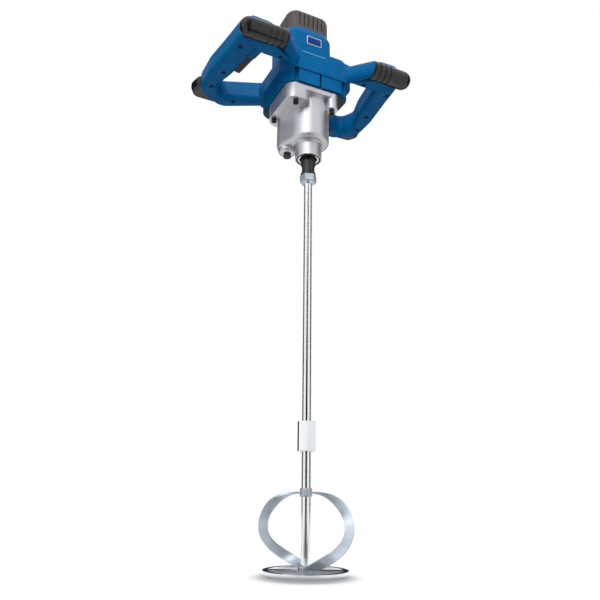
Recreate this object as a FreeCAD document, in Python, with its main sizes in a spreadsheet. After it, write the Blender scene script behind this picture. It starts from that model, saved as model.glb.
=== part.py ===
"""Two-handled mixing drill with its stirring paddle, as separate pieces.

Frame: +Z up along the spindle axis, origin on the floor under the centre of the paddle ring, -Y the front with
the bare badge place, +Y the user's side, -X the handle with the trigger. Lengths are in millimetres.
"""
import FreeCAD, Part
import math
import os
from types import SimpleNamespace
import Sketcher

# Driving dimensions, each one a cell of the sheet.
SIZES = {
    # Paddle and rods
    "ring_radius": 54.0,
    "ring_bar_width": 6.0,
    "ring_height": 5.0,
    "crossbar_width": 13.0,
    "foot_hub_radius": 10.5,
    "foot_socket_depth": 4.0,
    "blade_reach": 61.5,
    "blade_width": 12.0,
    "blade_thickness": 2.5,
    "blade_hub_radius": 8.0,
    "blade_hub_height": 8.0,
    "blade_hub_top": 101.0,
    "rod_radius": 6.0,
    "hex_across_flats": 22.0,
    "coupling_bottom": 149.0,
    "coupling_height": 38.5,
    "rod_gap": 1.0,
    "thread_radius": 7.0,
    "thread_length": 22.0,
    "nut_height": 10.5,
    # Spindle
    "spindle_bottom": 553.0,
    "spindle_reach": 28.0,
    "spindle_head_radius": 11.4,
    "spindle_shaft_radius": 8.5,
    "wrench_flat_across": 19.0,
    "wrench_flat_height": 15.0,
    "wrench_flat_start": 4.0,
    "socket_floor": 2.0,
    "key_width": 5.0,
    "key_height": 4.6,
    "circlip_height": 1.2,
    "circlip_groove_depth": 0.9,
    "circlip_width": 3.2,
    # Spindle seal and bearings
    "seal_radius": 18.6,
    "seal_height": 6.0,
    "seal_rim_width": 2.3,
    "seal_lip_height": 1.6,
    "nose_ring_inner_radius": 13.6,
    "nose_ring_height": 1.2,
    "nose_ring_gap": 5.0,
    "lower_bearing_radius": 17.5,
    "lower_bearing_height": 10.0,
    "upper_bearing_radius": 20.0,
    "upper_bearing_height": 12.0,
    "bearing_relief_radius": 14.0,
    "motor_bearing_radius": 11.0,
    "motor_bearing_height": 7.0,
    # Gear housing
    "nose_length": 25.0,
    "nose_radius": 20.2,
    "body_height": 52.0,
    "body_radius": 31.0,
    "body_edge_radius": 6.0,
    "nose_fillet": 4.0,
    "boss_shift": 5.0,
    "boss_drop": 8.0,
    "boss_radius": 14.0,
    "web_radius": 16.5,
    "web_lap": 0.6,
    "band_height": 25.0,
    "band_right": -12.0,
    "flange_thickness": 7.0,
    "flange_left": 52.0,
    "flange_right": 33.0,
    "flange_front": 38.0,
    "flange_back": 50.0,
    "flange_corner_radius": 15.0,
    "flange_lobe_radius": 26.0,
    "corner_boss_radius": 9.0,
    "gear_room": 1.4,
    "room_wall": 2.4,
    "plug_radius": 6.0,
    "plug_height": 3.0,
    "plug_neck_radius": 3.6,
    "plug_neck_height": 2.0,
    # Gears
    "first_module": 0.8,
    "second_module": 1.25,
    "first_gear_height": 8.0,
    "output_gear_height": 12.0,
    "output_gear_rise": 4.0,
    "gear_gap": 3.0,
    "lay_journal_radius": 4.0,
    "lay_shaft_radius": 6.0,
    "lay_bush_radius": 7.0,
    "lay_bush_height": 9.0,
    "lay_top_bush_height": 6.0,
    # Gasket, gear plate and collar
    "gasket_thickness": 2.5,
    "gasket_margin": 3.0,
    "gear_plate_thickness": 7.5,
    "gear_plate_margin": 4.6,
    "motor_boss_rise": 5.0,
    "motor_boss_wall": 3.0,
    "collar_height": 21.5,
    "collar_half_width": 54.0,
    "collar_front": 41.0,
    "collar_back": 74.0,
    "collar_corner_radius": 22.0,
    # Motor housing block, shoulder, barrel and cap
    "motor_offset": 30.0,
    "split_rise": 30.0,
    "block_height": 24.0,
    "block_round": 14.0,
    "block_top_half_width": 50.0,
    "block_half_width": 61.0,
    "block_front": 43.0,
    "block_back": 80.0,
    "block_corner_radius": 24.0,
    "shoulder_height": 27.0,
    "barrel_bulge": 11.0,
    "channel_wall": 2.2,
    "barrel_height": 44.0,
    "barrel_half_width": 40.5,
    "barrel_top_half_width": 37.0,
    "barrel_corner_radius": 18.0,
    "cap_height": 36.0,
    "cap_edge_radius": 9.0,
    "cap_wall": 3.0,
    "cap_groove_width": 2.4,
    "cap_groove_depth": 1.4,
    "cap_groove_margin": 4.5,
    "shell_wall": 3.2,
    "motor_bore_radius": 33.3,
    # Handle loops
    "loop_half_height": 19.5,
    "loop_edge_radius": 9.8,
    "loop_cavity_edge_radius": 5.5,
    "loop_reach": 149.0,
    "loop_back": 127.5,
    "guard_length": 20.0,
    "guard_depth": 11.0,
    "arm_front": 66.0,
    "arm_back": 40.0,
    "arm_edge_radius": 8.0,
    "horn_axis_y": -69.0,
    "horn_axis_drop": 14.5,
    "horn_radius": 14.3,
    "horn_root": 72.0,
    "horn_tip": 144.0,
    "horn_root_radius": 4.0,
    "horn_rim": 1.2,
    "horn_core_radius": 8.0,
    "horn_groove_width": 2.6,
    "horn_groove_depth": 1.3,
    "horn_groove_pitch": 9.0,
    "horn_groove_start": 10.0,
    "flare_length": 35.0,
    "flare_radius": 15.0,
    "pad_trim": 9.0,
    "pad_edge_radius": 9.0,
    # Fasteners
    "screw_radius": 2.0,
    "screw_head_radius": 3.6,
    "screw_head_height": 3.0,
    "screw_recess": 2.0,
    "screw_length": 26.0,
    "cap_screw_length": 16.0,
    "screw_boss_radius": 5.6,
    "screw_slot_depth": 1.6,
    "gear_screw_radius": 2.5,
    "gear_screw_head_radius": 4.25,
    "gear_screw_head_height": 5.0,
    "gear_screw_socket_radius": 2.2,
    "gear_screw_bite": 5.0,
    # Motor
    "stator_radius": 33.0,
    "stator_height": 56.0,
    "stator_rise": 15.0,
    "yoke_thickness": 4.5,
    "pole_width": 20.0,
    "pole_shoe_depth": 2.6,
    "air_gap": 0.6,
    "coil_overhang": 8.0,
    "coil_clearance": 0.3,
    "rotor_radius": 19.0,
    "winding_radius": 17.0,
    "winding_height": 7.0,
    "armature_shaft_radius": 4.0,
    "fan_radius": 30.0,
    "fan_hub_radius": 9.0,
    "fan_height": 10.0,
    "fan_web": 2.0,
    "fan_blade_thickness": 1.6,
    "fan_gap": 2.5,
    "commutator_radius": 10.0,
    "commutator_height": 15.0,
    "commutator_gap": 2.0,
    "commutator_slot": 0.8,
    "bridge_ring_width": 3.6,
    "bridge_height": 9.0,
    "bridge_arm_width": 16.0,
    "brush_width": 8.0,
    "brush_height": 10.0,
    "brush_length": 9.0,
    "brush_wall": 2.0,
    "brush_holder_length": 14.0,
    # Hand controls
    "trigger_half_length": 22.0,
    "trigger_half_height": 9.0,
    "trigger_reach": 11.0,
    "trigger_drop": 3.0,
    "trigger_setback": 28.5,
    "trigger_travel": 5.0,
    "trigger_lip": 2.0,
    "trigger_lip_depth": 2.6,
    "trigger_nub_radius": 3.2,
    "trigger_nub_length": 2.5,
    "trigger_edge_radius": 2.5,
    "trigger_spring_radius": 5.2,
    "spring_wire": 1.2,
    "switch_setback": 14.5,
    "switch_depth": 11.0,
    "switch_half_length": 12.0,
    "switch_drop": 11.5,
    "switch_rise": 7.0,
    "switch_foot_depth": 5.0,
    "lock_button_radius": 5.2,
    "lock_button_rise": 4.0,
    "lock_lip": 1.5,
    "lock_lip_height": 2.4,
    "lock_spring_radius": 3.6,
    "dial_radius": 9.0,
    "dial_width": 6.0,
    "dial_rise": 3.6,
    "dial_shaft_radius": 2.0,
    "dial_knurl_depth": 0.6,
    "dial_ear": 3.0,
    "dial_ear_half_width": 4.5,
    "controller_length": 10.0,
    "controller_half_width": 8.0,
    "controller_height": 14.0,
    "controller_rise": 4.0,
    "controller_foot": 6.0,
    "inlet_radius": 8.0,
    "inlet_bore_radius": 4.2,
    "inlet_length": 9.0,
    "inlet_lip": 2.0,
    # Fits
    "fit_clearance": 0.03,
    "running_clearance": 0.05,
    "seat_clearance": 0.3,
    "overrun": 2.0,
}

# Counts and angles.
OUTPUT_TEETH = 36
LAY_PINION_TEETH = 12
LAY_GEAR_TEETH = 44
MOTOR_PINION_TEETH = 10
PRESSURE_ANGLE = 25.0
ADDENDUM_SHARE = 0.8
DEDENDUM_SHARE = 1.08
BACKLASH_SHARE = 0.12
PADDLE_TURN = -26.4
COUPLING_TURN = -17.4
LOCK_NUT_TURN = -46.4
BLADE_TWIST = -78.0
BLADE_TWIST_POWER = 3
BLADE_SECTIONS = 17
BLADE_FLAT_SHARE = 0.42
SHOULDER_SECTIONS = 6
CAP_GROOVES = 7
HORN_GROOVES = 3
FAN_BLADES = 11
COMMUTATOR_SLOTS = 12
KNURLS = 18
BEARING_BALLS = 8

# Corner points of the handle strut and back arm, seen from above on the +X side: shares of the loop's reach and
# back, with the corner radius as a share of the reach.
LOOP_CORNER_SHARES = (
    (0.66, -0.455, 0.10),
    (0.90, -0.455, 0.10),
    (0.946, -0.04, 0.60),
    (1.003, 0.392, 0.45),
    (1.007, 0.784, 0.14),
    (0.711, 1.00, 0.17),
    (0.1275, 0.638, 0.10),
    (0.201, 0.482, 0.10),
    (0.383, 0.60, 0.05),
    (0.765, 0.783, 0.07),
    (0.852, 0.596, 0.13),
    (0.777, 0.314, 0.50),
)
# Side view of the front arm: shares of the loop's reach and of the arm's height, with the corner radius as a share
# of the arm's height.
ARM_SIDE_SHARES = (
    (0.22, 0.00, 0.10),
    (0.66, 0.00, 0.40),
    (0.86, 0.22, 0.20),
    (0.87, 0.93, 0.20),
    (0.64, 0.91, 0.50),
    (0.52, 0.74, 0.50),
    (0.44, 0.60, 0.50),
    (0.38, 0.60, 0.40),
    (0.30, 0.72, 0.30),
    (0.22, 0.72, 0.10),
)
# Screw places on the handles, as shares of the loop's reach and back.
HANDLE_SCREW_SHARES = ((0.86, -0.241), (0.872, 0.277), (0.915, 0.599), (0.61, 0.778))
ARM_SCREW_SHARES = (0.48, 0.74)
# Plan of the front arm: shares of the loop's reach and of the arm's front, with the corner radius as a share of
# the reach.
ARM_PLAN_SHARES = (
    (0.22, -0.64, 0.01),
    (0.33, -0.66, 0.08),
    (0.50, -0.90, 0.10),
    (0.60, -1.00, 0.05),
    (0.90, -1.00, 0.02),
    (0.90, -0.60, 0.02),
    (0.22, -0.60, 0.02),
)
COLLAR_SCREW_SHARE = 0.73
# Gear housing screws, as shares of the flange's left, right, front and back reach.
GEAR_SCREW_SHARES = ((-0.69, -0.75), (-0.865, 0.62), (0.76, -0.78), (0.74, 0.78))
# Outline of a corner pad, as shares of the loop's reach and back, with the corner radius as a share of the reach.
PAD_CORNER_SHARES = (
    (0.90, 0.72, 0.07),
    (1.03, 0.70, 0.07),
    (1.075, 0.90, 0.075),
    (1.01, 1.03, 0.09),
    (0.72, 1.035, 0.07),
    (0.72, 0.86, 0.07),
)
LOCK_PLACE_SHARES = (0.876, 0.139)
DIAL_PLACE_SHARES = (0.836, -0.11)
INLET_SHARE = 0.62


class Size:
    """A length together with the sheet expression that gives it."""

    def __init__(self, value, text):
        self.value = value
        self.text = text

    def __float__(self):
        return float(self.value)

    def __add__(self, other):
        return Size(self.value + other.value, f"({self.text} + {other.text})")

    def __sub__(self, other):
        return Size(self.value - other.value, f"({self.text} - {other.text})")

    def __neg__(self):
        return Size(-self.value, f"(-1 * {self.text})")

    def __mul__(self, other):
        if isinstance(other, Size):
            return Size(self.value * other.value, f"({self.text} * {other.text})")
        return Size(self.value * other, f"({self.text} * ({other!r}))")

    def __truediv__(self, other):
        if isinstance(other, Size):
            return Size(self.value / other.value, f"({self.text} / {other.text})")
        return Size(self.value / other, f"({self.text} / ({other!r}))")

    def __pow__(self, power):
        return Size(self.value ** power, f"({self.text} ^ {power!r})")


ZERO = Size(0.0, "0")


def derive(k):
    """Add to k the heights and places that follow from its sizes; k holds Size objects or plain numbers."""
    k.rod_bottom = k.ring_height
    k.coupling_middle = k.coupling_bottom + k.coupling_height * 0.5
    k.nut_bottom = k.spindle_bottom - k.nut_height
    k.nose_bottom = k.spindle_bottom + k.spindle_reach
    k.lower_bearing_bottom = k.nose_bottom + k.seal_height
    k.lower_bearing_top = k.lower_bearing_bottom + k.lower_bearing_height
    k.body_bottom = k.nose_bottom + k.nose_length
    k.boss_bottom = k.body_bottom - k.boss_drop
    k.band_bottom = k.body_bottom + k.body_height
    k.flange_top = k.band_bottom + k.band_height
    k.flange_bottom = k.flange_top - k.flange_thickness
    k.output_gear_bottom = k.band_bottom - k.output_gear_rise * 0.5
    k.output_gear_top = k.output_gear_bottom + k.output_gear_height
    k.upper_bearing_top = k.output_gear_bottom - k.output_gear_rise
    k.upper_bearing_bottom = k.upper_bearing_top - k.upper_bearing_height
    k.circlip_bottom = k.output_gear_top + k.fit_clearance
    k.spindle_top = k.circlip_bottom + k.circlip_height + k.circlip_height
    k.first_gear_bottom = k.output_gear_top + k.gear_gap
    k.first_gear_top = k.first_gear_bottom + k.first_gear_height
    k.output_radius = k.second_module * (OUTPUT_TEETH * 0.5)
    k.lay_pinion_radius = k.second_module * (LAY_PINION_TEETH * 0.5)
    k.lay_gear_radius = k.first_module * (LAY_GEAR_TEETH * 0.5)
    k.motor_pinion_radius = k.first_module * (MOTOR_PINION_TEETH * 0.5)
    k.output_distance = k.output_radius + k.lay_pinion_radius
    k.motor_distance = k.lay_gear_radius + k.motor_pinion_radius
    spread = k.output_distance ** 2 - k.motor_distance ** 2 + k.motor_offset ** 2
    k.lay_y = spread / (k.motor_offset * 2.0)
    k.lay_x = -((k.output_distance ** 2 - k.lay_y ** 2) ** 0.5)
    k.boss_x = k.lay_x + k.boss_shift * k.lay_x / k.output_distance
    k.boss_y = k.lay_y + k.boss_shift * k.lay_y / k.output_distance
    k.gasket_top = k.flange_top + k.gasket_thickness
    k.gear_plate_top = k.gasket_top + k.gear_plate_thickness
    k.motor_boss_top = k.gear_plate_top + k.motor_boss_rise
    k.motor_boss_radius = k.motor_bearing_radius + k.motor_boss_wall
    k.motor_bearing_bottom = k.motor_boss_top - k.motor_bearing_height
    k.lay_bottom = k.boss_bottom + k.plug_neck_height + k.plug_neck_height
    k.lay_top = k.gasket_top + k.lay_top_bush_height
    k.ledge = k.gasket_top + k.collar_height
    k.split = k.ledge + k.split_rise
    k.loop_bottom = k.split - k.loop_half_height
    k.loop_top = k.split + k.loop_half_height
    k.block_top = k.ledge + k.block_height
    k.crest = k.block_top + k.block_round
    k.shoulder_top = k.crest + k.shoulder_height
    k.barrel_top = k.shoulder_top + k.barrel_height
    k.cap_top = k.barrel_top + k.cap_height
    k.horn_axis_z = k.split - k.horn_axis_drop
    k.bulge_top = k.barrel_top - k.barrel_bulge
    k.channel_radius = k.screw_head_radius + k.seat_clearance
    k.stator_bottom = k.ledge + k.stator_rise
    k.stator_top = k.stator_bottom + k.stator_height
    k.fan_bottom = k.motor_boss_top + k.fan_gap
    k.commutator_bottom = k.stator_top + k.winding_height + k.commutator_gap
    k.commutator_top = k.commutator_bottom + k.commutator_height
    k.bridge_top = k.barrel_top
    k.bridge_bottom = k.bridge_top - k.bridge_height
    k.top_bearing_top = k.bridge_top - k.running_clearance - k.bridge_ring_width * 0.5
    k.top_bearing_bottom = k.top_bearing_top - k.motor_bearing_height
    return k


doc = FreeCAD.newDocument("mixing_drill")
sheet = doc.addObject("Spreadsheet::Sheet", "Sizes")
for row, (alias, value) in enumerate(SIZES.items(), start=1):
    sheet.set(f"A{row}", alias)
    sheet.set(f"B{row}", str(value))
    sheet.setAlias(f"B{row}", alias)
doc.recompute()

S = derive(SimpleNamespace(**{alias: Size(value, f"Sizes.{alias}") for alias, value in SIZES.items()}))
N = derive(SimpleNamespace(**{alias: float(sheet.get(alias)) for alias in SIZES}))
NODES = []

UP = FreeCAD.Vector(0, 0, 1)
ALONG_X = FreeCAD.Vector(1, 0, 0)
ORIGIN = FreeCAD.Vector(0, 0, 0)


def vec(x, y, z=0.0):
    """A vector from lengths or numbers."""
    return FreeCAD.Vector(float(x), float(y), float(z))


# Document helpers

def new_body(label, x=ZERO, y=ZERO, z=ZERO, turn=0.0):
    """A named body whose place is bound to the sheet."""
    body = doc.addObject("PartDesign::Body", label)
    body.Label = label
    body.AllowCompound = True
    body.Placement = FreeCAD.Placement(vec(x, y, z), FreeCAD.Rotation(UP, turn))
    for axis, size in (("x", x), ("y", y), ("z", z)):
        body.setExpression(f"Placement.Base.{axis}", size.text)
    NODES.append(body)
    return body


def new_sketch(body, role, level=ZERO):
    """A sketch on one of the body's own origin planes, lifted along its normal."""
    plane = next(feature for feature in body.Origin.OriginFeatures if feature.Role == role)
    sketch = body.newObject("Sketcher::SketchObject", f"{body.Label}_outline")
    sketch.AttachmentSupport = [(plane, "")]
    sketch.MapMode = "FlatFace"
    sketch.setExpression("AttachmentOffset.Base.z", level.text)
    return sketch


def pin_point(sketch, geometry, end, x, y):
    """Tie one point of a sketch to sheet sizes."""
    for kind, axis, size in (("DistanceX", -2, x), ("DistanceY", -1, y)):
        if size is ZERO:
            sketch.addConstraint(Sketcher.Constraint("PointOnObject", geometry, end, axis))
        else:
            number = sketch.addConstraint(Sketcher.Constraint(kind, -1, 1, geometry, end, float(size)))
            sketch.setExpression(f"Constraints[{number}]", size.text)


def draw_polygon(sketch, points):
    """A closed run of lines through points of sheet sizes."""
    first = sketch.GeometryCount
    count = len(points)
    for index in range(count):
        start, stop = points[index], points[(index + 1) % count]
        sketch.addGeometry(Part.LineSegment(vec(*start), vec(*stop)), False)
    for index in range(count):
        sketch.addConstraint(Sketcher.Constraint("Coincident", first + index, 2, first + (index + 1) % count, 1))
    for index, (x, y) in enumerate(points):
        pin_point(sketch, first + index, 1, x, y)


def draw_circle(sketch, x, y, radius):
    """A circle of sheet sizes."""
    geometry = sketch.addGeometry(Part.Circle(vec(x, y), UP, float(radius)), False)
    number = sketch.addConstraint(Sketcher.Constraint("Radius", geometry, float(radius)))
    sketch.setExpression(f"Constraints[{number}]", radius.text)
    pin_point(sketch, geometry, 3, x, y)


def add_pad(body, sketch, length):
    """Extrude a sketch upwards along its normal."""
    pad = body.newObject("PartDesign::Pad", f"{body.Label}_pad")
    pad.Profile = sketch
    pad.setExpression("Length", length.text)
    return pad


def add_pocket(body, sketch, depth):
    """Cut a sketch down from its plane."""
    pocket = body.newObject("PartDesign::Pocket", f"{body.Label}_pocket")
    pocket.Profile = sketch
    pocket.setExpression("Length", depth.text)
    return pocket


def turned(label, profile, x=ZERO, y=ZERO, turn=0.0):
    """A body turned about a vertical axis from (radius, height) points."""
    body = new_body(label, x, y, ZERO, turn)
    sketch = new_sketch(body, "XZ_Plane")
    draw_polygon(sketch, profile)
    revolution = body.newObject("PartDesign::Revolution", f"{label}_turn")
    revolution.Profile = sketch
    revolution.ReferenceAxis = (sketch, ["V_Axis"])
    revolution.Angle = 360.0
    return body


def ring(label, inner, outer, bottom, top, x=ZERO, y=ZERO):
    """A plain turned ring."""
    return turned(label, ((inner, bottom), (outer, bottom), (outer, top), (inner, top)), x, y)


def hexagon(label, bottom, height, bore, turn):
    """A hexagonal nut or coupling with one edge turned from the front."""
    body = new_body(label, turn=turn)
    corner = S.hex_across_flats / (2.0 * math.cos(math.radians(30.0)))
    points = []
    for side in range(6):
        angle = math.radians(30.0 + 60.0 * side)
        points.append((corner * math.cos(angle), corner * math.sin(angle)))
    points = [(ZERO if abs(float(x)) < 1e-9 else x, ZERO if abs(float(y)) < 1e-9 else y) for x, y in points]
    sketch = new_sketch(body, "XY_Plane", bottom)
    draw_polygon(sketch, points)
    draw_circle(sketch, ZERO, ZERO, bore)
    add_pad(body, sketch, height)
    return body


def screw_group(label, places, head_bottom, head_radius, head_height, radius, length, socket, depth, down=False):
    """Screws with their heads at head_bottom, pointing up or down, as separate solids of one piece."""
    body = new_body(label)
    heads = new_sketch(body, "XY_Plane", head_bottom)
    for x, y in places:
        draw_circle(heads, x, y, head_radius)
    add_pad(body, heads, head_height)
    shanks = new_sketch(body, "XY_Plane", head_bottom - length if down else head_bottom + head_height)
    for x, y in places:
        draw_circle(shanks, x, y, radius)
    add_pad(body, shanks, length)
    sockets = new_sketch(body, "XY_Plane", head_bottom + (head_height if down else depth))
    for x, y in places:
        draw_circle(sockets, x, y, socket)
    add_pocket(body, sockets, depth)
    return body


def solid_node(label, shape):
    """A piece whose shape is worked out from the sizes in code."""
    feature = doc.addObject("Part::Feature", label)
    feature.Label = label
    feature.Shape = shape
    NODES.append(feature)
    return feature


# Shape helpers

def cylinder(radius, bottom, top, x=0.0, y=0.0):
    """A vertical cylinder between two heights."""
    return Part.makeCylinder(radius, top - bottom, vec(x, y, bottom), UP)


def bar(radius, start, stop, y, z):
    """A cylinder along X between two places."""
    return Part.makeCylinder(radius, stop - start, vec(start, y, z), ALONG_X)


def block(x0, x1, y0, y1, z0, z1):
    """An upright box between two corners."""
    return Part.makeBox(x1 - x0, y1 - y0, z1 - z0, vec(x0, y0, z0))


def rounded_wire(corners, z):
    """A closed wire at height z through corners (x, y, radius), with tangent arcs."""
    edges = []
    tangents = []
    count = len(corners)
    for index, (x, y, radius) in enumerate(corners):
        here = vec(x, y, z)
        back = vec(corners[index - 1][0], corners[index - 1][1], z) - here
        ahead = vec(corners[(index + 1) % count][0], corners[(index + 1) % count][1], z) - here
        half = back.getAngle(ahead) * 0.5
        run = min(radius / math.tan(half), 0.48 * back.Length, 0.48 * ahead.Length)
        fit = run * math.tan(half)
        back.normalize()
        ahead.normalize()
        middle = back + ahead
        middle.normalize()
        tip = here + middle * (fit / math.sin(half) - fit)
        tangents.append((here + back * run, tip, here + ahead * run))
    for index, (start, tip, stop) in enumerate(tangents):
        edges.append(Part.Arc(start, tip, stop).toShape())
        edges.append(Part.LineSegment(stop, tangents[(index + 1) % count][0]).toShape())
    return Part.Wire(edges)


def rounded_prism(corners, z0, z1):
    """An extruded outline with rounded corners."""
    return Part.Face(rounded_wire(corners, z0)).extrude(vec(0, 0, z1 - z0))


def rectangle_corners(x0, x1, y0, y1, radius):
    """The corners of a rounded rectangle, anticlockwise."""
    return [(x0, y0, radius), (x1, y0, radius), (x1, y1, radius), (x0, y1, radius)]


def inset_corners(corners, distance):
    """The same outline moved inwards by a distance; corners run anticlockwise."""
    moved = []
    count = len(corners)
    for index, (x, y, radius) in enumerate(corners):
        here = vec(x, y)
        back = here - vec(*corners[index - 1][:2])
        ahead = vec(*corners[(index + 1) % count][:2]) - here
        back.normalize()
        ahead.normalize()
        turn = back.x * ahead.y - back.y * ahead.x
        normal = vec(-back.y - ahead.y, back.x + ahead.x)
        normal.normalize()
        reach = distance / (normal.x * -back.y + normal.y * back.x)
        fresh = radius - distance if turn > 0 else radius + distance
        moved.append((x + normal.x * reach, y + normal.y * reach, max(fresh, distance)))
    return moved


def soften(solid, radius, test):
    """Round the edges that pass a test."""
    return solid.makeFillet(radius, [edge for edge in solid.Edges if test(edge)])


def level_edge(z0, z1, tolerance):
    """A test for edges that lie flat at either of two heights."""
    def test(edge):
        box = edge.BoundBox
        flat = box.ZLength < tolerance
        return flat and (abs(box.ZMin - z0) < tolerance or abs(box.ZMin - z1) < tolerance)
    return test


def mirrored(shape):
    """The same shape on the other side of the X = 0 plane."""
    return shape.mirror(ORIGIN, ALONG_X)


def join(shapes):
    """One solid from overlapping solids."""
    return shapes[0].multiFuse(shapes[1:]).removeSplitter()


# Gears

def gear_solid(module, teeth, bottom, top, x, y, phase):
    """A spur gear with involute flanks, one tooth pointing along phase (radians)."""
    pressure = math.radians(PRESSURE_ANGLE)
    pitch = module * teeth * 0.5
    base = pitch * math.cos(pressure)
    tip = pitch + module * ADDENDUM_SHARE
    root = pitch - module * DEDENDUM_SHARE
    half_tooth = math.pi / (2.0 * teeth) - BACKLASH_SHARE * module / (2.0 * pitch)
    start = max(base, root)
    radii = [start + (tip - start) * step / 4.0 for step in range(5)]
    flank = []
    if root < base:
        flank.append((root, half_tooth + math.tan(pressure) - pressure))
    for radius in radii:
        roll = math.acos(min(1.0, base / radius))
        flank.append((radius, half_tooth + math.tan(pressure) - pressure - (math.tan(roll) - roll)))
    points = []
    for tooth in range(teeth):
        centre = phase + 2.0 * math.pi * tooth / teeth
        sides = [(radius, centre - angle) for radius, angle in flank]
        sides += [(radius, centre + angle) for radius, angle in reversed(flank)]
        points += [vec(x + r * math.cos(a), y + r * math.sin(a), bottom) for r, a in sides]
    points.append(points[0])
    return Part.Face(Part.makePolygon(points)).extrude(vec(0, 0, top - bottom))


TO_LAYSHAFT = math.atan2(N.lay_y, N.lay_x)
TO_MOTOR = math.atan2(N.motor_offset - N.lay_y, -N.lay_x)


def tip_radius(module, pitch):
    """The outside radius of a gear."""
    return pitch + module * ADDENDUM_SHARE


# Bearings

def ball_bearing(name, inner, outer, bottom, height, x, y):
    """A ball bearing as two pieces: the inner race, and the outer race with its balls."""
    middle = (inner + outer) * 0.5
    ball = (outer - inner) * 0.27
    race_gap = ball + S.running_clearance
    top = bottom + height
    ring(f"{name}_inner_race", inner + S.fit_clearance, middle - race_gap, bottom, top, x, y)
    shell = cylinder(float(outer), float(bottom), float(top), float(x), float(y))
    shell = shell.cut(cylinder(float(middle + race_gap), float(bottom), float(top), float(x), float(y)))
    solids = [shell]
    for number in range(BEARING_BALLS):
        angle = 2.0 * math.pi * number / BEARING_BALLS
        place = vec(float(x) + float(middle) * math.cos(angle), float(y) + float(middle) * math.sin(angle),
                    float(bottom + height * 0.5))
        solids.append(Part.makeSphere(float(ball), place))
    solid_node(f"{name}_outer_race", Part.makeCompound(solids))


# Paddle and rods

def make_paddle_ring():
    """The round foot with its crossbar and hub."""
    body = new_body("paddle_ring", turn=PADDLE_TURN)
    rim = new_sketch(body, "XY_Plane")
    draw_circle(rim, ZERO, ZERO, S.ring_radius)
    draw_circle(rim, ZERO, ZERO, S.ring_radius - S.ring_bar_width)
    add_pad(body, rim, S.ring_height)
    reach = S.ring_radius - S.ring_bar_width * 0.5
    half = S.crossbar_width * 0.5
    cross = new_sketch(body, "XY_Plane")
    draw_polygon(cross, ((-reach, -half), (reach, -half), (reach, half), (-reach, half)))
    add_pad(body, cross, S.ring_height)
    hub = new_sketch(body, "XY_Plane")
    draw_circle(hub, ZERO, ZERO, S.foot_hub_radius)
    hub_height = S.ring_height + S.foot_socket_depth
    add_pad(body, hub, hub_height)
    socket = new_sketch(body, "XY_Plane", hub_height)
    draw_circle(socket, ZERO, ZERO, S.rod_radius + S.fit_clearance)
    add_pocket(body, socket, S.foot_socket_depth)
    return body


def blade_loft(start):
    """One twisted blade strip, from the blade hub down to the foot hub, before it is cut to its seats."""
    top = N.blade_hub_top - N.blade_hub_height * 0.5
    foot = N.ring_height + N.blade_thickness * 0.8
    middle = N.blade_reach - N.blade_width * 0.5

    def centre_at(share):
        bow = math.pi * share
        fall = 0.5 * (1.0 - math.cos(bow))
        angle = math.radians(start + BLADE_TWIST * fall ** BLADE_TWIST_POWER)
        radius = N.rod_radius * math.cos(bow) ** 2 + middle * math.sin(bow)
        return vec(radius * math.cos(angle), radius * math.sin(angle), top + (foot - top) * fall), angle

    wires = []
    for step in range(BLADE_SECTIONS):
        share = step / (BLADE_SECTIONS - 1.0)
        centre, angle = centre_at(share)
        nudge_share = 0.01
        path = centre_at(share + nudge_share)[0] - centre_at(share - nudge_share)[0]
        path.normalize()
        sideways = vec(-math.sin(angle), math.cos(angle))
        sideways = sideways - path * sideways.dot(path)
        sideways.normalize()
        upright = path.cross(sideways)
        turned_share = min(share / BLADE_FLAT_SHARE, (1.0 - share) / BLADE_FLAT_SHARE, 1.0)
        lean = 0.25 * math.pi * (1.0 - math.cos(math.pi * turned_share))
        across = sideways * math.cos(lean) + upright * math.sin(lean)
        half = across * (N.blade_width * 0.5)
        side = path.cross(across) * (N.blade_thickness * 0.5)
        ring_points = [centre + half + side, centre - half + side, centre - half - side, centre + half - side]
        wires.append(Part.makePolygon(ring_points + ring_points[:1]))
    return Part.makeLoft(wires, True, False)


def make_stirrer():
    """The paddle, its blades and the two coupled rods."""
    foot = make_paddle_ring()
    bore = S.rod_radius + S.fit_clearance
    hub_bottom = S.blade_hub_top - S.blade_hub_height
    ring("blade_hub", bore, S.blade_hub_radius, hub_bottom, S.blade_hub_top)
    doc.recompute()
    keep_out = [foot.Shape, cylinder(N.foot_hub_radius, 0.0, N.ring_height + N.foot_socket_depth)]
    keep_out.append(cylinder(N.blade_hub_radius, N.blade_hub_top - N.blade_hub_height, N.blade_hub_top))
    keep_out.append(cylinder(N.rod_radius + N.seat_clearance, 0.0, N.blade_hub_top))
    floor = block(-N.blade_reach, N.blade_reach, -N.blade_reach, N.blade_reach, -N.blade_width, N.ring_height)
    for label, start in (("front_blade", PADDLE_TURN), ("back_blade", PADDLE_TURN + 180.0)):
        strip = blade_loft(start).cut(keep_out + [floor])
        solid_node(label, max(strip.Solids, key=lambda solid: solid.Volume))
    half_gap = S.rod_gap * 0.5
    turned("lower_rod", ((ZERO, S.rod_bottom), (S.rod_radius, S.rod_bottom),
                         (S.rod_radius, S.coupling_middle - half_gap), (ZERO, S.coupling_middle - half_gap)))
    hexagon("coupling_nut", S.coupling_bottom, S.coupling_height, bore, COUPLING_TURN)
    thread_top = S.spindle_bottom + S.thread_length
    turned("upper_rod", ((ZERO, S.coupling_middle + half_gap), (S.rod_radius, S.coupling_middle + half_gap),
                         (S.rod_radius, S.nut_bottom), (S.thread_radius, S.nut_bottom),
                         (S.thread_radius, thread_top), (ZERO, thread_top)))
    hexagon("lock_nut", S.nut_bottom, S.nut_height, S.thread_radius + S.fit_clearance, LOCK_NUT_TURN)


# Spindle

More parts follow.
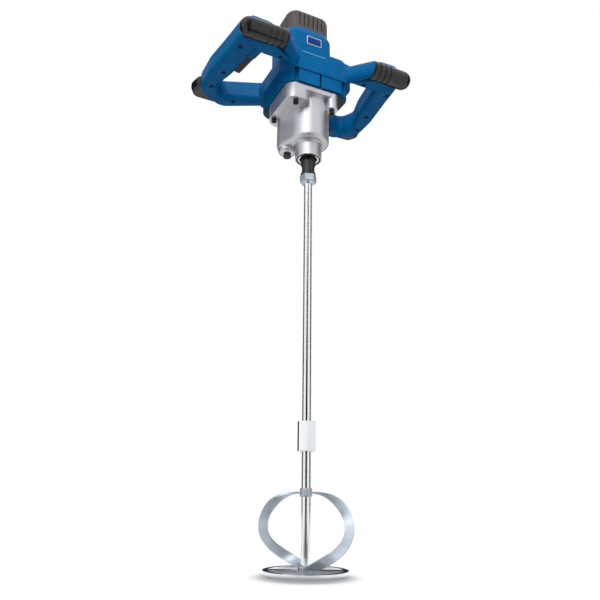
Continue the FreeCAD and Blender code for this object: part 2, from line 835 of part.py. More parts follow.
def make_spindle():
    """The spindle with its socket, wrench flats, gear, key, circlip and bearings."""
    socket = S.thread_radius + S.fit_clearance
    socket_top = S.spindle_bottom + S.thread_length + S.socket_floor
    groove = S.spindle_shaft_radius - S.circlip_groove_depth
    groove_top = S.circlip_bottom + S.circlip_height
    shaft = S.spindle_shaft_radius
    body = turned("spindle", (
        (socket, S.spindle_bottom), (S.spindle_head_radius, S.spindle_bottom),
        (S.spindle_head_radius, S.lower_bearing_bottom), (shaft, S.lower_bearing_bottom),
        (shaft, S.circlip_bottom), (groove, S.circlip_bottom), (groove, groove_top), (shaft, groove_top),
        (shaft, S.spindle_top), (ZERO, S.spindle_top), (ZERO, socket_top), (socket, socket_top)), turn=PADDLE_TURN)
    flats_top = S.spindle_bottom + S.wrench_flat_start + S.wrench_flat_height
    flats = new_sketch(body, "XY_Plane", flats_top)
    outside = S.spindle_head_radius + S.overrun
    near = S.wrench_flat_across * 0.5
    draw_polygon(flats, ((near, -outside), (outside, -outside), (outside, outside), (near, outside)))
    draw_polygon(flats, ((-outside, -outside), (-near, -outside), (-near, outside), (-outside, outside)))
    add_pocket(body, flats, S.wrench_flat_height)
    keyway = new_sketch(body, "XY_Plane", S.output_gear_top)
    half_key = S.key_width * 0.5 + S.fit_clearance
    key_floor = shaft - S.key_height * 0.5 - S.fit_clearance
    beyond = shaft + S.overrun
    draw_polygon(keyway, ((key_floor, -half_key), (beyond, -half_key), (beyond, half_key), (key_floor, half_key)))
    add_pocket(body, keyway, S.output_gear_height)

    key = new_body("gear_key", turn=PADDLE_TURN)
    outline = new_sketch(key, "XY_Plane", S.output_gear_bottom)
    low = shaft - S.key_height * 0.5
    high = shaft + S.key_height * 0.5
    half = S.key_width * 0.5
    draw_polygon(outline, ((low, -half), (high, -half), (high, half), (low, half)))
    add_pad(key, outline, S.output_gear_height)

    gear = gear_solid(N.second_module, OUTPUT_TEETH, N.output_gear_bottom, N.output_gear_top, 0.0, 0.0, TO_LAYSHAFT)
    gear = gear.cut(cylinder(N.spindle_shaft_radius + N.fit_clearance, N.output_gear_bottom, N.output_gear_top))
    reach = N.spindle_shaft_radius + N.key_height * 0.5 + N.fit_clearance
    width = N.key_width * 0.5 + N.fit_clearance
    slot = block(0.0, reach, -width, width, N.output_gear_bottom, N.output_gear_top)
    slot.rotate(ORIGIN, UP, PADDLE_TURN)
    solid_node("output_gear", gear.cut(slot))

    clip = S.spindle_shaft_radius + S.circlip_width - S.circlip_groove_depth
    ring("spindle_circlip", groove + S.fit_clearance, clip, S.circlip_bottom, groove_top - S.fit_clearance)
    ball_bearing("lower_spindle", S.spindle_shaft_radius, S.lower_bearing_radius, S.lower_bearing_bottom,
                 S.lower_bearing_height, ZERO, ZERO)
    ball_bearing("upper_spindle", S.spindle_shaft_radius, S.upper_bearing_radius, S.upper_bearing_bottom,
                 S.upper_bearing_height, ZERO, ZERO)

    lip = S.spindle_head_radius + S.running_clearance
    rim = S.seal_radius - S.seal_rim_width
    disc = S.nose_bottom + S.seal_lip_height
    turned("spindle_seal", ((lip, disc), (rim, disc), (rim, S.nose_bottom), (S.seal_radius, S.nose_bottom),
                            (S.seal_radius, S.lower_bearing_bottom - S.fit_clearance),
                            (lip, S.lower_bearing_bottom - S.fit_clearance)))
    nose_ring = ring("nose_ring", S.nose_ring_inner_radius, rim - S.fit_clearance, disc - S.nose_ring_height, disc)
    split = new_sketch(nose_ring, "XY_Plane", disc)
    half_gap = S.nose_ring_gap * 0.5
    draw_polygon(split, ((-half_gap, ZERO), (half_gap, ZERO), (half_gap, S.seal_radius), (-half_gap, S.seal_radius)))
    add_pocket(nose_ring, split, S.nose_ring_height)


# Gear housing

def flange_corners(right):
    """The outline of the gear housing's flange, up to a right-hand limit."""
    corners = rectangle_corners(-N.flange_left, right, -N.flange_front, N.flange_back, N.flange_corner_radius)
    corners[3] = (-N.flange_left, N.flange_back, N.flange_lobe_radius)
    return corners


def gear_screw_places(k):
    """The places of the four gear housing screws, in Size objects or numbers."""
    places = []
    for x_share, y_share in GEAR_SCREW_SHARES:
        across = k.flange_left if x_share < 0 else k.flange_right
        deep = k.flange_front if y_share < 0 else k.flange_back
        places.append((across * x_share, deep * y_share))
    return places


def casting_outline(z):
    """The casting's outline round output gear and layshaft: two arcs and the flats between them."""
    big, small = N.body_radius + N.web_lap, N.web_radius
    towards = math.atan2(N.boss_y, N.boss_x)
    spread = math.acos((big - small) / math.hypot(N.boss_x, N.boss_y))

    def on_body(angle):
        return vec(big * math.cos(angle), big * math.sin(angle), z)

    def on_boss(angle):
        return vec(N.boss_x + small * math.cos(angle), N.boss_y + small * math.sin(angle), z)

    left, right = towards + spread, towards - spread
    edges = [
        Part.Arc(on_body(left), on_body(towards + math.pi), on_body(right)),
        Part.LineSegment(on_body(right), on_boss(right)),
        Part.Arc(on_boss(right), on_boss(towards), on_boss(left)),
        Part.LineSegment(on_boss(left), on_body(left)),
    ]
    return Part.Wire([edge.toShape() for edge in edges])


def make_gear_housing():
    """The die-cast housing with nose, bearing seats, gear room and screw bosses."""
    profile = [(0.0, N.nose_bottom), (N.nose_radius, N.nose_bottom), (N.nose_radius, N.body_bottom),
               (N.body_radius, N.body_bottom), (N.body_radius, N.flange_top), (0.0, N.flange_top)]
    points = [vec(radius, 0.0, z) for radius, z in profile]
    core = Part.Face(Part.makePolygon(points + points[:1])).revolve(ORIGIN, UP, 360)

    def rim_of(radius):
        def test(edge):
            box = edge.BoundBox
            level = box.ZLength < N.fit_clearance and abs(box.ZMin - N.body_bottom) < N.fit_clearance
            return level and abs(box.XMax - radius) < N.fit_clearance
        return test

    core = soften(core, N.body_edge_radius, rim_of(N.body_radius))
    core = soften(core, N.nose_fillet, rim_of(N.nose_radius))
    boss = cylinder(N.boss_radius, N.boss_bottom, N.flange_top, N.boss_x, N.boss_y)
    boss = soften(boss, N.body_edge_radius, level_edge(N.boss_bottom, N.boss_bottom, N.fit_clearance))
    flange = rounded_prism(flange_corners(N.flange_right), N.flange_bottom, N.flange_top)
    band = rounded_prism(flange_corners(N.band_right), N.band_bottom, N.flange_top)
    low = N.body_bottom - N.web_lap
    web = Part.Face(casting_outline(low)).extrude(vec(0.0, 0.0, N.flange_top - low))
    web = soften(web, N.body_edge_radius, level_edge(low, low, N.fit_clearance))
    solids = [core, boss, web, flange, band]
    for x, y in gear_screw_places(N):
        if x > 0:
            solids.append(cylinder(N.corner_boss_radius, N.band_bottom, N.flange_top, x, y))
    output_room = tip_radius(N.second_module, N.output_radius) + N.gear_room
    lay_room = tip_radius(N.first_module, N.lay_gear_radius) + N.gear_room
    pinion_room = tip_radius(N.second_module, N.lay_pinion_radius) + N.gear_room
    motor_room = tip_radius(N.first_module, N.motor_pinion_radius) + N.gear_room
    lay_floor = N.first_gear_bottom - N.gear_room - N.room_wall
    solids.append(cylinder(lay_room + N.room_wall, lay_floor, N.flange_top, N.lay_x, N.lay_y))
    motor_floor = N.output_gear_top - N.room_wall
    solids.append(cylinder(motor_room + N.room_wall, motor_floor, N.flange_top, 0.0, N.motor_offset))
    casting = join(solids)
    bush_top = N.lay_bottom + N.lay_bush_height
    cuts = [
        cylinder(N.seal_radius + N.fit_clearance, N.nose_bottom, N.lower_bearing_bottom),
        cylinder(N.lower_bearing_radius + N.fit_clearance, N.lower_bearing_bottom, N.lower_bearing_top),
        cylinder(N.bearing_relief_radius, N.lower_bearing_top, N.upper_bearing_bottom),
        cylinder(N.upper_bearing_radius + N.fit_clearance, N.upper_bearing_bottom, N.upper_bearing_top),
        cylinder(output_room, N.upper_bearing_top, N.flange_top),
        cylinder(N.lay_bush_radius + N.fit_clearance, N.lay_bottom, bush_top, N.lay_x, N.lay_y),
        cylinder(pinion_room, bush_top, N.flange_top, N.lay_x, N.lay_y),
        cylinder(lay_room, N.first_gear_bottom - N.gear_room, N.flange_top, N.lay_x, N.lay_y),
        cylinder(motor_room, N.output_gear_top, N.flange_top, 0.0, N.motor_offset),
        cylinder(N.plug_neck_radius + N.fit_clearance, N.boss_bottom, N.boss_bottom + N.plug_neck_height, N.boss_x,
                 N.boss_y),
    ]
    for x, y in gear_screw_places(N):
        cuts.append(cylinder(N.gear_screw_radius + N.fit_clearance, N.band_bottom, N.flange_top, x, y))
    solid_node("gear_housing", casting.cut(cuts))
    grip = S.flange_top - S.band_bottom + S.gasket_thickness + S.gear_screw_bite
    screw_group("gear_housing_screws", gear_screw_places(S), S.band_bottom - S.gear_screw_head_height,
                S.gear_screw_head_radius, S.gear_screw_head_height, S.gear_screw_radius, grip,
                S.gear_screw_socket_radius, S.gear_screw_head_height * 0.6)
    low = S.boss_bottom - S.plug_neck_height
    neck_top = S.boss_bottom + S.plug_neck_height - S.fit_clearance
    turned("layshaft_plug", ((ZERO, low - S.plug_height), (S.plug_radius, low - S.plug_height),
                             (S.plug_radius, low), (S.plug_neck_radius, low),
                             (S.plug_neck_radius, neck_top), (ZERO, neck_top)), S.boss_x, S.boss_y)


def collar_corners(margin):
    """The collar's outline, moved in by a margin."""
    outline = rectangle_corners(-N.collar_half_width, N.collar_half_width, -N.collar_front, N.collar_back,
                                N.collar_corner_radius)
    return inset_corners(outline, margin)


def gear_openings(bottom, top):
    """The room for the gear train between two heights."""
    lay_room = tip_radius(N.first_module, N.lay_gear_radius) + N.gear_room
    output_room = tip_radius(N.second_module, N.output_radius) + N.gear_room
    motor_room = tip_radius(N.first_module, N.motor_pinion_radius) + N.gear_room
    return [cylinder(lay_room, bottom, top, N.lay_x, N.lay_y), cylinder(output_room, bottom, top),
            cylinder(motor_room, bottom, top, 0.0, N.motor_offset)]


def make_gear_plate():
    """The gasket under the collar and the plate that carries the motor's and layshaft's upper bearings."""
    gasket = rounded_prism(collar_corners(N.gasket_margin), N.flange_top, N.gasket_top)
    holes = [cylinder(N.gear_screw_radius + N.fit_clearance, N.flange_top, N.gear_plate_top, x, y)
             for x, y in gear_screw_places(N)]
    for x, y in ledge_screw_places(N)[:3]:
        holes.append(cylinder(N.channel_radius, N.flange_top, N.gasket_top, x, y))
    solid_node("gasket", gasket.cut(gear_openings(N.flange_top, N.gasket_top) + holes))
    plate = rounded_prism(collar_corners(N.gear_plate_margin), N.gasket_top, N.gear_plate_top)
    plate = plate.fuse(cylinder(N.motor_boss_radius, N.gear_plate_top, N.motor_boss_top, 0.0, N.motor_offset))
    pinion_way = tip_radius(N.first_module, N.motor_pinion_radius) + N.gear_room
    cuts = [
        cylinder(N.motor_bearing_radius + N.fit_clearance, N.motor_bearing_bottom, N.motor_boss_top, 0.0,
                 N.motor_offset),
        cylinder(pinion_way, N.gasket_top, N.motor_bearing_bottom, 0.0, N.motor_offset),
        cylinder(N.lay_bush_radius + N.fit_clearance, N.gasket_top, N.lay_top, N.lay_x, N.lay_y),
    ]
    for x, y in ledge_screw_places(N)[:3]:
        post = N.channel_radius + N.channel_wall + N.seat_clearance
        cuts.append(cylinder(post, N.gasket_top, N.gear_plate_top, x, y))
    bite = N.gasket_top + N.gear_screw_bite + N.overrun * 0.5
    for x, y in gear_screw_places(N):
        cuts.append(cylinder(N.gear_screw_radius + N.fit_clearance, N.gasket_top, bite, x, y))
    solid_node("gear_plate", plate.cut(cuts).removeSplitter())


def make_layshaft():
    """The layshaft with its own pinion, its gear and two bushes."""
    pinion_bottom = N.output_gear_bottom - N.gear_room * 0.5
    pinion_top = N.first_gear_bottom - N.gear_room * 0.5
    pinion = gear_solid(N.second_module, LAY_PINION_TEETH, pinion_bottom, pinion_top, N.lay_x, N.lay_y,
                        TO_LAYSHAFT + math.pi + math.pi / LAY_PINION_TEETH)
    bush_top = N.lay_bottom + N.lay_bush_height
    shaft = join([
        cylinder(N.lay_journal_radius, N.lay_bottom + N.seat_clearance, N.lay_top - N.seat_clearance, N.lay_x,
                 N.lay_y),
        cylinder(N.lay_shaft_radius, bush_top + N.seat_clearance, pinion_bottom, N.lay_x, N.lay_y),
        cylinder(N.lay_shaft_radius, pinion_top, N.flange_top, N.lay_x, N.lay_y),
        pinion,
    ])
    solid_node("layshaft", shaft)
    wheel = gear_solid(N.first_module, LAY_GEAR_TEETH, N.first_gear_bottom, N.first_gear_top, N.lay_x, N.lay_y,
                       TO_MOTOR)
    solid_node("layshaft_gear", wheel.cut(cylinder(N.lay_shaft_radius + N.fit_clearance, N.first_gear_bottom,
                                                   N.first_gear_top, N.lay_x, N.lay_y)))
    inner = S.lay_journal_radius + S.running_clearance
    ring("layshaft_lower_bush", inner, S.lay_bush_radius, S.lay_bottom, S.lay_bottom + S.lay_bush_height, S.lay_x,
         S.lay_y)
    ring("layshaft_upper_bush", inner, S.lay_bush_radius, S.gasket_top, S.lay_top - S.fit_clearance, S.lay_x, S.lay_y)


# Housing shells

def barrel_square(half, radius, z):
    """A rounded square about the motor axis."""
    return rounded_wire(rectangle_corners(-half, half, N.motor_offset - half, N.motor_offset + half, radius), z)


def loop_corners():
    """The strut and back arm of the +X handle, anticlockwise from the strut's front."""
    return [(x * N.loop_reach, y * N.loop_back, r * N.loop_reach) for x, y, r in LOOP_CORNER_SHARES]


def loop_form(inset, edge):
    """The rounded strut and back arm, moved in by an inset."""
    z0, z1 = N.loop_bottom + inset, N.loop_top - inset
    prism = rounded_prism(inset_corners(loop_corners(), inset), z0, z1)
    return soften(prism, edge, level_edge(z0, z1, N.fit_clearance))


def arm_form(inset, edge):
    """The front arm of the +X handle, with its dip between housing and grip, moved in by an inset."""
    height = N.loop_top - N.ledge
    corners = [(N.loop_reach * x, N.ledge + height * z, height * r) for x, z, r in ARM_SIDE_SHARES]
    near, far = N.arm_back + inset, N.arm_front - inset
    prism = soften(rounded_prism(inset_corners(corners, inset), near, far), edge,
                   level_edge(near, far, N.fit_clearance))
    prism.rotate(ORIGIN, ALONG_X, 90.0)
    plan = [(N.loop_reach * x, N.arm_front * y, N.loop_reach * r) for x, y, r in ARM_PLAN_SHARES]
    return prism.common(rounded_prism(plan, N.ledge, N.loop_top))


def horn_solid(radius, start, tip):
    """The grip's outer form about its own axis along X: flat root with a rounded rim, domed nose."""
    profile = [vec(start, 0.0), vec(start, radius - N.horn_root_radius)]
    edges = [Part.LineSegment(profile[0], profile[1]).toShape()]
    lean = N.horn_root_radius * math.sqrt(0.5)
    mid = vec(start + N.horn_root_radius - lean, radius - N.horn_root_radius + lean)
    top = vec(start + N.horn_root_radius, radius)
    edges.append(Part.Arc(profile[1], mid, top).toShape())
    end = vec(tip - radius, radius)
    edges.append(Part.LineSegment(top, end).toShape())
    lean = radius * math.sqrt(0.5)
    edges.append(Part.Arc(end, vec(tip - radius + lean, lean), vec(tip, 0.0)).toShape())
    edges.append(Part.LineSegment(vec(tip, 0.0), profile[0]).toShape())
    form = Part.Face(Part.Wire(edges)).revolve(ORIGIN, ALONG_X, 360)
    form.translate(vec(0.0, N.horn_axis_y, N.horn_axis_z))
    return form


def horn_core():
    """The moulded peg inside a grip."""
    return bar(N.horn_core_radius, N.horn_root - N.horn_root_radius, N.horn_tip - N.horn_radius, N.horn_axis_y,
               N.horn_axis_z)


def flare_form():
    """The round limb that leans forward from the block to the grip's root."""
    rings = []
    for x, y, radius in ((N.horn_root - N.flare_length, N.flare_radius - N.block_front, N.flare_radius),
                         (N.horn_root, N.horn_axis_y, N.horn_radius - N.horn_rim)):
        rings.append(Part.Wire([Part.Circle(vec(x, y, N.horn_axis_z), ALONG_X, radius).toShape()]))
    return Part.makeLoft(rings, True, True)


def block_outline(share, z):
    """The outline of the block's crest, drawn in by a share of the way towards the barrel's."""
    half = N.barrel_half_width
    inner = (-half, half, N.motor_offset - half, N.motor_offset + half, N.barrel_corner_radius)
    half = N.block_top_half_width
    outer = (-half, half, -N.block_front, N.block_back, N.barrel_corner_radius)
    return rounded_wire(rectangle_corners(*[a + (b - a) * share for a, b in zip(outer, inner)]), z)


def guard_form():
    """The blunt block ahead of the trigger on the -X strut."""
    far = -N.trigger_half_length - N.overrun * 0.5
    tall = N.trigger_half_height + N.trigger_lip
    guard = in_trigger_frame(far - N.guard_length, far, -N.shell_wall, N.guard_depth, -tall, tall)
    centre, along, inward = trigger_frame()

    def outer_edge(edge):
        return abs((edge.CenterOfMass - centre).dot(inward) - N.guard_depth) < N.fit_clearance

    return soften(guard, N.trigger_edge_radius, outer_edge)


def housing_form():
    """The outside of both housing shells as one solid."""
    half = N.block_half_width
    base = rectangle_corners(-half, half, -N.block_front, N.block_back, N.block_corner_radius)
    sections = [rounded_wire(base, N.block_top)]
    for step in range(SHOULDER_SECTIONS):
        share = step / (SHOULDER_SECTIONS - 1.0)
        sections.append(block_outline(1.0 - (1.0 - share) ** 2, N.crest + N.shoulder_height * share))
    sections.append(barrel_square(N.barrel_half_width, N.barrel_corner_radius, N.bulge_top))
    sections.append(barrel_square(N.barrel_top_half_width, N.barrel_corner_radius, N.barrel_top))
    tower = Part.makeLoft(sections, True, True)
    collar = rounded_prism(collar_corners(0.0), N.gasket_top, N.ledge)
    arm = arm_form(0.0, N.arm_edge_radius).cut(horn_solid(N.horn_radius, N.horn_root, N.horn_tip))
    side = [loop_form(0.0, N.loop_edge_radius).cut(horn_solid(N.horn_radius, N.horn_root, N.horn_tip)), arm,
            flare_form(), horn_core()]
    solids = [tower, rounded_prism(base, N.ledge, N.block_top), collar, guard_form()]
    for shape in side:
        solids.append(shape)
        solids.append(mirrored(shape))
    return join(solids)


def housing_hollow():
    """The room inside both shells, before the screw posts are kept."""
    wall = N.shell_wall
    x, front, back = N.block_half_width, N.block_front, N.block_back
    room = rounded_prism(inset_corners(rectangle_corners(-x, x, -front, back, N.block_corner_radius), wall),
                         N.ledge + wall, N.block_top - wall)
    spaces = [
        room,
        cylinder(N.motor_bore_radius, N.ledge, N.barrel_top, 0.0, N.motor_offset),
        rounded_prism(collar_corners(N.gear_plate_margin - N.seat_clearance), N.gasket_top, N.ledge + wall),
    ]
    horn = horn_solid(N.horn_radius + wall, N.horn_root - wall, N.horn_tip)
    loop = loop_form(wall, N.loop_cavity_edge_radius).cut(horn)
    spaces.append(loop)
    spaces.append(mirrored(loop))
    return spaces


def handle_screw_places(k):
    """Screw places on the handles' struts and back arms."""
    places = []
    for x, y in HANDLE_SCREW_SHARES:
        places.append((k.loop_reach * x, k.loop_back * y))
        places.append((-(k.loop_reach * x), k.loop_back * y))
    return places


def ledge_screw_places(k):
    """Screw places on the level of the ledge: three on the collar's front and one under each front arm."""
    x = k.collar_half_width * COLLAR_SCREW_SHARE
    y = -(k.collar_front - k.screw_head_radius)
    arm_x = k.loop_reach * ARM_SCREW_SHARES[0]
    arm_y = -(k.arm_front * ARM_SCREW_SHARES[1])
    return [(-x, y), (x, y), (x * 0.0, y), (-arm_x, arm_y), (arm_x, arm_y)]


def trigger_frame():
    """The trigger's seat: centre on the strut's inner face, direction along it and direction into the opening."""
    corners = loop_corners()
    low = vec(-corners[0][0], corners[0][1])
    high = vec(-corners[-1][0], corners[-1][1])
    along = high - low
    along.normalize()
    inward = vec(along.y, -along.x)
    centre = high - along * N.trigger_setback
    return vec(centre.x, centre.y, N.split - N.trigger_drop), along, inward


def in_trigger_frame(u0, u1, w0, w1, z0, z1):
    """A box in the trigger's frame: u along the strut, w into the opening, z from the trigger's middle."""
    centre, along, inward = trigger_frame()
    shape = Part.makeBox(w1 - w0, u1 - u0, z1 - z0, vec(w0, u0, z0))
    turn = FreeCAD.Rotation(ALONG_X, inward)
    shape.Placement = FreeCAD.Placement(centre, turn)
    return shape


def trigger_rod(radius, w0, w1):
    """A cylinder in the trigger's frame along its travel."""
    centre, along, inward = trigger_frame()
    return Part.makeCylinder(radius, w1 - w0, centre + inward * w0, inward)


def lock_place():
    """The lock button's axis on the -X strut."""
    return -N.loop_reach * LOCK_PLACE_SHARES[0], N.loop_back * LOCK_PLACE_SHARES[1]


def dial_place():
    """The speed dial's centre on the -X strut."""
    z = N.loop_top + N.dial_rise - N.dial_radius
    return -N.loop_reach * DIAL_PLACE_SHARES[0], N.loop_back * DIAL_PLACE_SHARES[1], z


def inlet_frame():
    """The cord inlet's seat on the back arm: place on the outer edge and outward direction."""
    corners = loop_corners()
    start = vec(-corners[5][0], corners[5][1])
    stop = vec(-corners[6][0], corners[6][1])
    along = stop - start
    place = start + along * INLET_SHARE
    along.normalize()
    outward = vec(-along.y, along.x)
    if outward.y < 0:
        outward = outward * -1.0
    return vec(place.x, place.y, N.split), outward


def make_shells():
    """The upper and lower housing shells, split at the handles' middle, with posts, holes and slots."""
    form = housing_form()
    posts = []
    for x, y in handle_screw_places(N) + ledge_screw_places(N):
        posts.append(cylinder(N.screw_boss_radius, N.ledge, N.loop_top, x, y))
    for x, y in ledge_screw_places(N)[:3]:
        posts.append(cylinder(N.channel_radius + N.channel_wall, N.gasket_top, N.ledge + N.shell_wall, x, y))
    x, y, z = dial_place()
    for start in (x - N.dial_width * 0.5 - N.seat_clearance - N.dial_ear, x + N.dial_width * 0.5 + N.seat_clearance):
        posts.append(block(start, start + N.dial_ear, y - N.dial_ear_half_width, y + N.dial_ear_half_width,
                           z - N.dial_ear_half_width, N.loop_top))
    hollow = housing_hollow()
    hollow = hollow[0].multiFuse(hollow[1:]).cut(posts)
    cuts = []
    clear = N.screw_radius + N.fit_clearance
    for places, seat in ((handle_screw_places(N), N.loop_bottom), (ledge_screw_places(N), N.ledge)):
        head = seat + N.screw_recess
        for x, y in places:
            reach = head + N.screw_head_height + N.screw_length + N.overrun * 0.5
            cuts.append(cylinder(clear, head, min(reach, N.loop_top - N.shell_wall), x, y))
            cuts.append(cylinder(N.channel_radius, N.gasket_top, head + N.screw_head_height, x, y))
    spread = N.barrel_top_half_width - N.barrel_corner_radius * 0.5
    depth = N.cap_screw_length - N.cap_wall + N.overrun * 0.5
    for x in (-spread, spread):
        for y in (N.motor_offset - spread, N.motor_offset + spread):
            cuts.append(cylinder(clear, N.barrel_top - depth, N.barrel_top, x, y))
    room = N.seat_clearance
    lip = N.trigger_half_length + room
    tall = N.trigger_half_height + room
    cuts.append(in_trigger_frame(-lip, lip, -N.shell_wall - N.overrun, N.overrun, -tall, tall))
    back = -N.shell_wall - N.trigger_lip_depth - N.trigger_travel - room - room
    lip = lip + N.trigger_lip
    tall = tall + N.trigger_lip
    cuts.append(in_trigger_frame(-lip, lip, back, -N.shell_wall, -tall, tall))
    x, y = lock_place()
    cuts.append(cylinder(N.lock_button_radius + room, N.split, N.loop_top + N.overrun, x, y))
    x, y, z = dial_place()
    half = N.dial_width * 0.5 + room
    wide = N.dial_radius + room
    cuts.append(block(x - half, x + half, y - wide, y + wide, z - wide, N.loop_top + N.overrun))
    end = half + N.dial_ear
    cuts.append(bar(N.dial_shaft_radius + N.running_clearance, x - end, x + end, y, z))
    place, outward = inlet_frame()
    start = place - outward * (N.inlet_length + N.shell_wall)
    cuts.append(Part.makeCylinder(N.inlet_radius + N.fit_clearance, N.inlet_length + N.shell_wall + N.overrun, start,
                                  outward))
    shell = form.cut([hollow] + cuts)
    reach = N.loop_reach + N.horn_tip
    below = block(-reach, reach, -reach, reach, N.gasket_top - N.overrun, N.split)
    above = block(-reach, reach, -reach, reach, N.split, N.cap_top)
    upper = shell.common(above)
    lower = shell.common(below)
    solid_node("upper_housing", max(upper.Solids, key=lambda solid: solid.Volume))
    solid_node("lower_housing", max(lower.Solids, key=lambda solid: solid.Volume))
    places = handle_screw_places(S)
    slot = (S.screw_head_radius * 0.5, S.screw_slot_depth)
    screw_group("handle_screws", places, S.loop_bottom + S.screw_recess, S.screw_head_radius, S.screw_head_height,
                S.screw_radius, S.screw_length, *slot)
    places = [(ZERO if float(x) == 0.0 else x, y) for x, y in ledge_screw_places(S)]
    screw_group("ledge_screws", places, S.ledge + S.screw_recess, S.screw_head_radius, S.screw_head_height,
                S.screw_radius, S.screw_length, *slot)


def make_grips():
    """The two horn grips and the two rubber corner pads."""
    grip = horn_solid(N.horn_radius, N.horn_root, N.horn_tip).cut(horn_core_room())
    for number in range(HORN_GROOVES):
        start = N.horn_root + N.horn_groove_start + N.horn_groove_pitch * number
        outer = bar(N.horn_radius + N.overrun, start, start + N.horn_groove_width, N.horn_axis_y, N.horn_axis_z)
        inner = bar(N.horn_radius - N.horn_groove_depth, start, start + N.horn_groove_width, N.horn_axis_y,
                    N.horn_axis_z)
        grip = grip.cut(outer.cut(inner))
    pad = pad_form()
    keep = loop_form(0.0, N.loop_edge_radius)
    grip = grip.cut(keep)
    pad = pad.cut(keep)
    pad = max(pad.Solids, key=lambda solid: solid.Volume)
    grip = max(grip.Solids, key=lambda solid: solid.Volume)
    solid_node("right_horn_grip", grip)
    solid_node("left_horn_grip", mirrored(grip))
    solid_node("right_corner_pad", pad)
    solid_node("left_corner_pad", mirrored(pad))


def horn_core_room():
    """The bore of a grip that takes its peg."""
    return bar(N.horn_core_radius + N.fit_clearance, N.horn_root - N.horn_radius,
               N.horn_tip - N.horn_radius + N.fit_clearance, N.horn_axis_y, N.horn_axis_z)


def pad_form():
    """The corner pad's outer form before the handle is cut away from it."""
    corners = [(x * N.loop_reach, y * N.loop_back, r * N.loop_reach) for x, y, r in PAD_CORNER_SHARES]
    z0, z1 = N.loop_bottom + N.pad_trim, N.loop_top - N.pad_trim
    return soften(rounded_prism(corners, z0, z1), N.pad_edge_radius, level_edge(z0, z1, N.fit_clearance))


def make_cap():
    """The top cap with its row of grooves, and its screws."""
    half = N.barrel_top_half_width
    outline = rectangle_corners(-half, half, N.motor_offset - half, N.motor_offset + half, N.barrel_corner_radius)
    form = rounded_prism(outline, N.barrel_top, N.cap_top)
    form = soften(form, N.cap_edge_radius, level_edge(N.cap_top, N.cap_top, N.fit_clearance))
    inner = rounded_prism(inset_corners(outline, N.cap_wall), N.barrel_top, N.cap_top - N.cap_wall)
    inner = soften(inner, N.cap_edge_radius - N.cap_wall, level_edge(N.cap_top - N.cap_wall, N.cap_top - N.cap_wall,
                                                                     N.fit_clearance))
    spread = half - N.barrel_corner_radius * 0.5
    posts = [(x * spread, N.motor_offset + y * spread) for x in (-1, 1) for y in (-1, 1)]
    columns = [cylinder(N.screw_boss_radius, N.barrel_top, N.cap_top, x, y) for x, y in posts]
    cap = form.cut(inner.cut(columns))
    cuts = []
    pitch = 2.0 * (half - N.barrel_corner_radius * 0.5) / CAP_GROOVES
    low = N.barrel_top + N.cap_groove_margin
    high = N.cap_top + N.overrun
    for number in range(CAP_GROOVES + 1):
        offset = -half + N.barrel_corner_radius * 0.5 + pitch * number
        left, right = offset - N.cap_groove_width * 0.5, offset + N.cap_groove_width * 0.5
        for side in (-1.0, 1.0):
            face = half - N.cap_groove_depth
            y_range = sorted((side * face, side * (half + N.overrun)))
            cuts.append(block(left, right, N.motor_offset + y_range[0], N.motor_offset + y_range[1], low, high))
            cuts.append(block(y_range[0], y_range[1], N.motor_offset + left, N.motor_offset + right, low, high))
    seat = N.barrel_top + N.cap_wall
    for x, y in posts:
        cuts.append(cylinder(N.screw_radius + N.fit_clearance, N.barrel_top, seat, x, y))
        cuts.append(cylinder(N.screw_head_radius + N.seat_clearance, seat, N.cap_top + N.overrun, x, y))
    solid_node("top_cap", cap.cut(cuts))
    reach = S.barrel_top_half_width - S.barrel_corner_radius * 0.5
    places = [(reach * x, S.motor_offset + reach * y) for x in (-1.0, 1.0) for y in (-1.0, 1.0)]
    screw_group("cap_screws", places, S.barrel_top + S.cap_wall, S.screw_head_radius, S.screw_head_height,
                S.screw_radius, S.cap_screw_length, S.screw_head_radius * 0.5, S.screw_slot_depth, down=True)


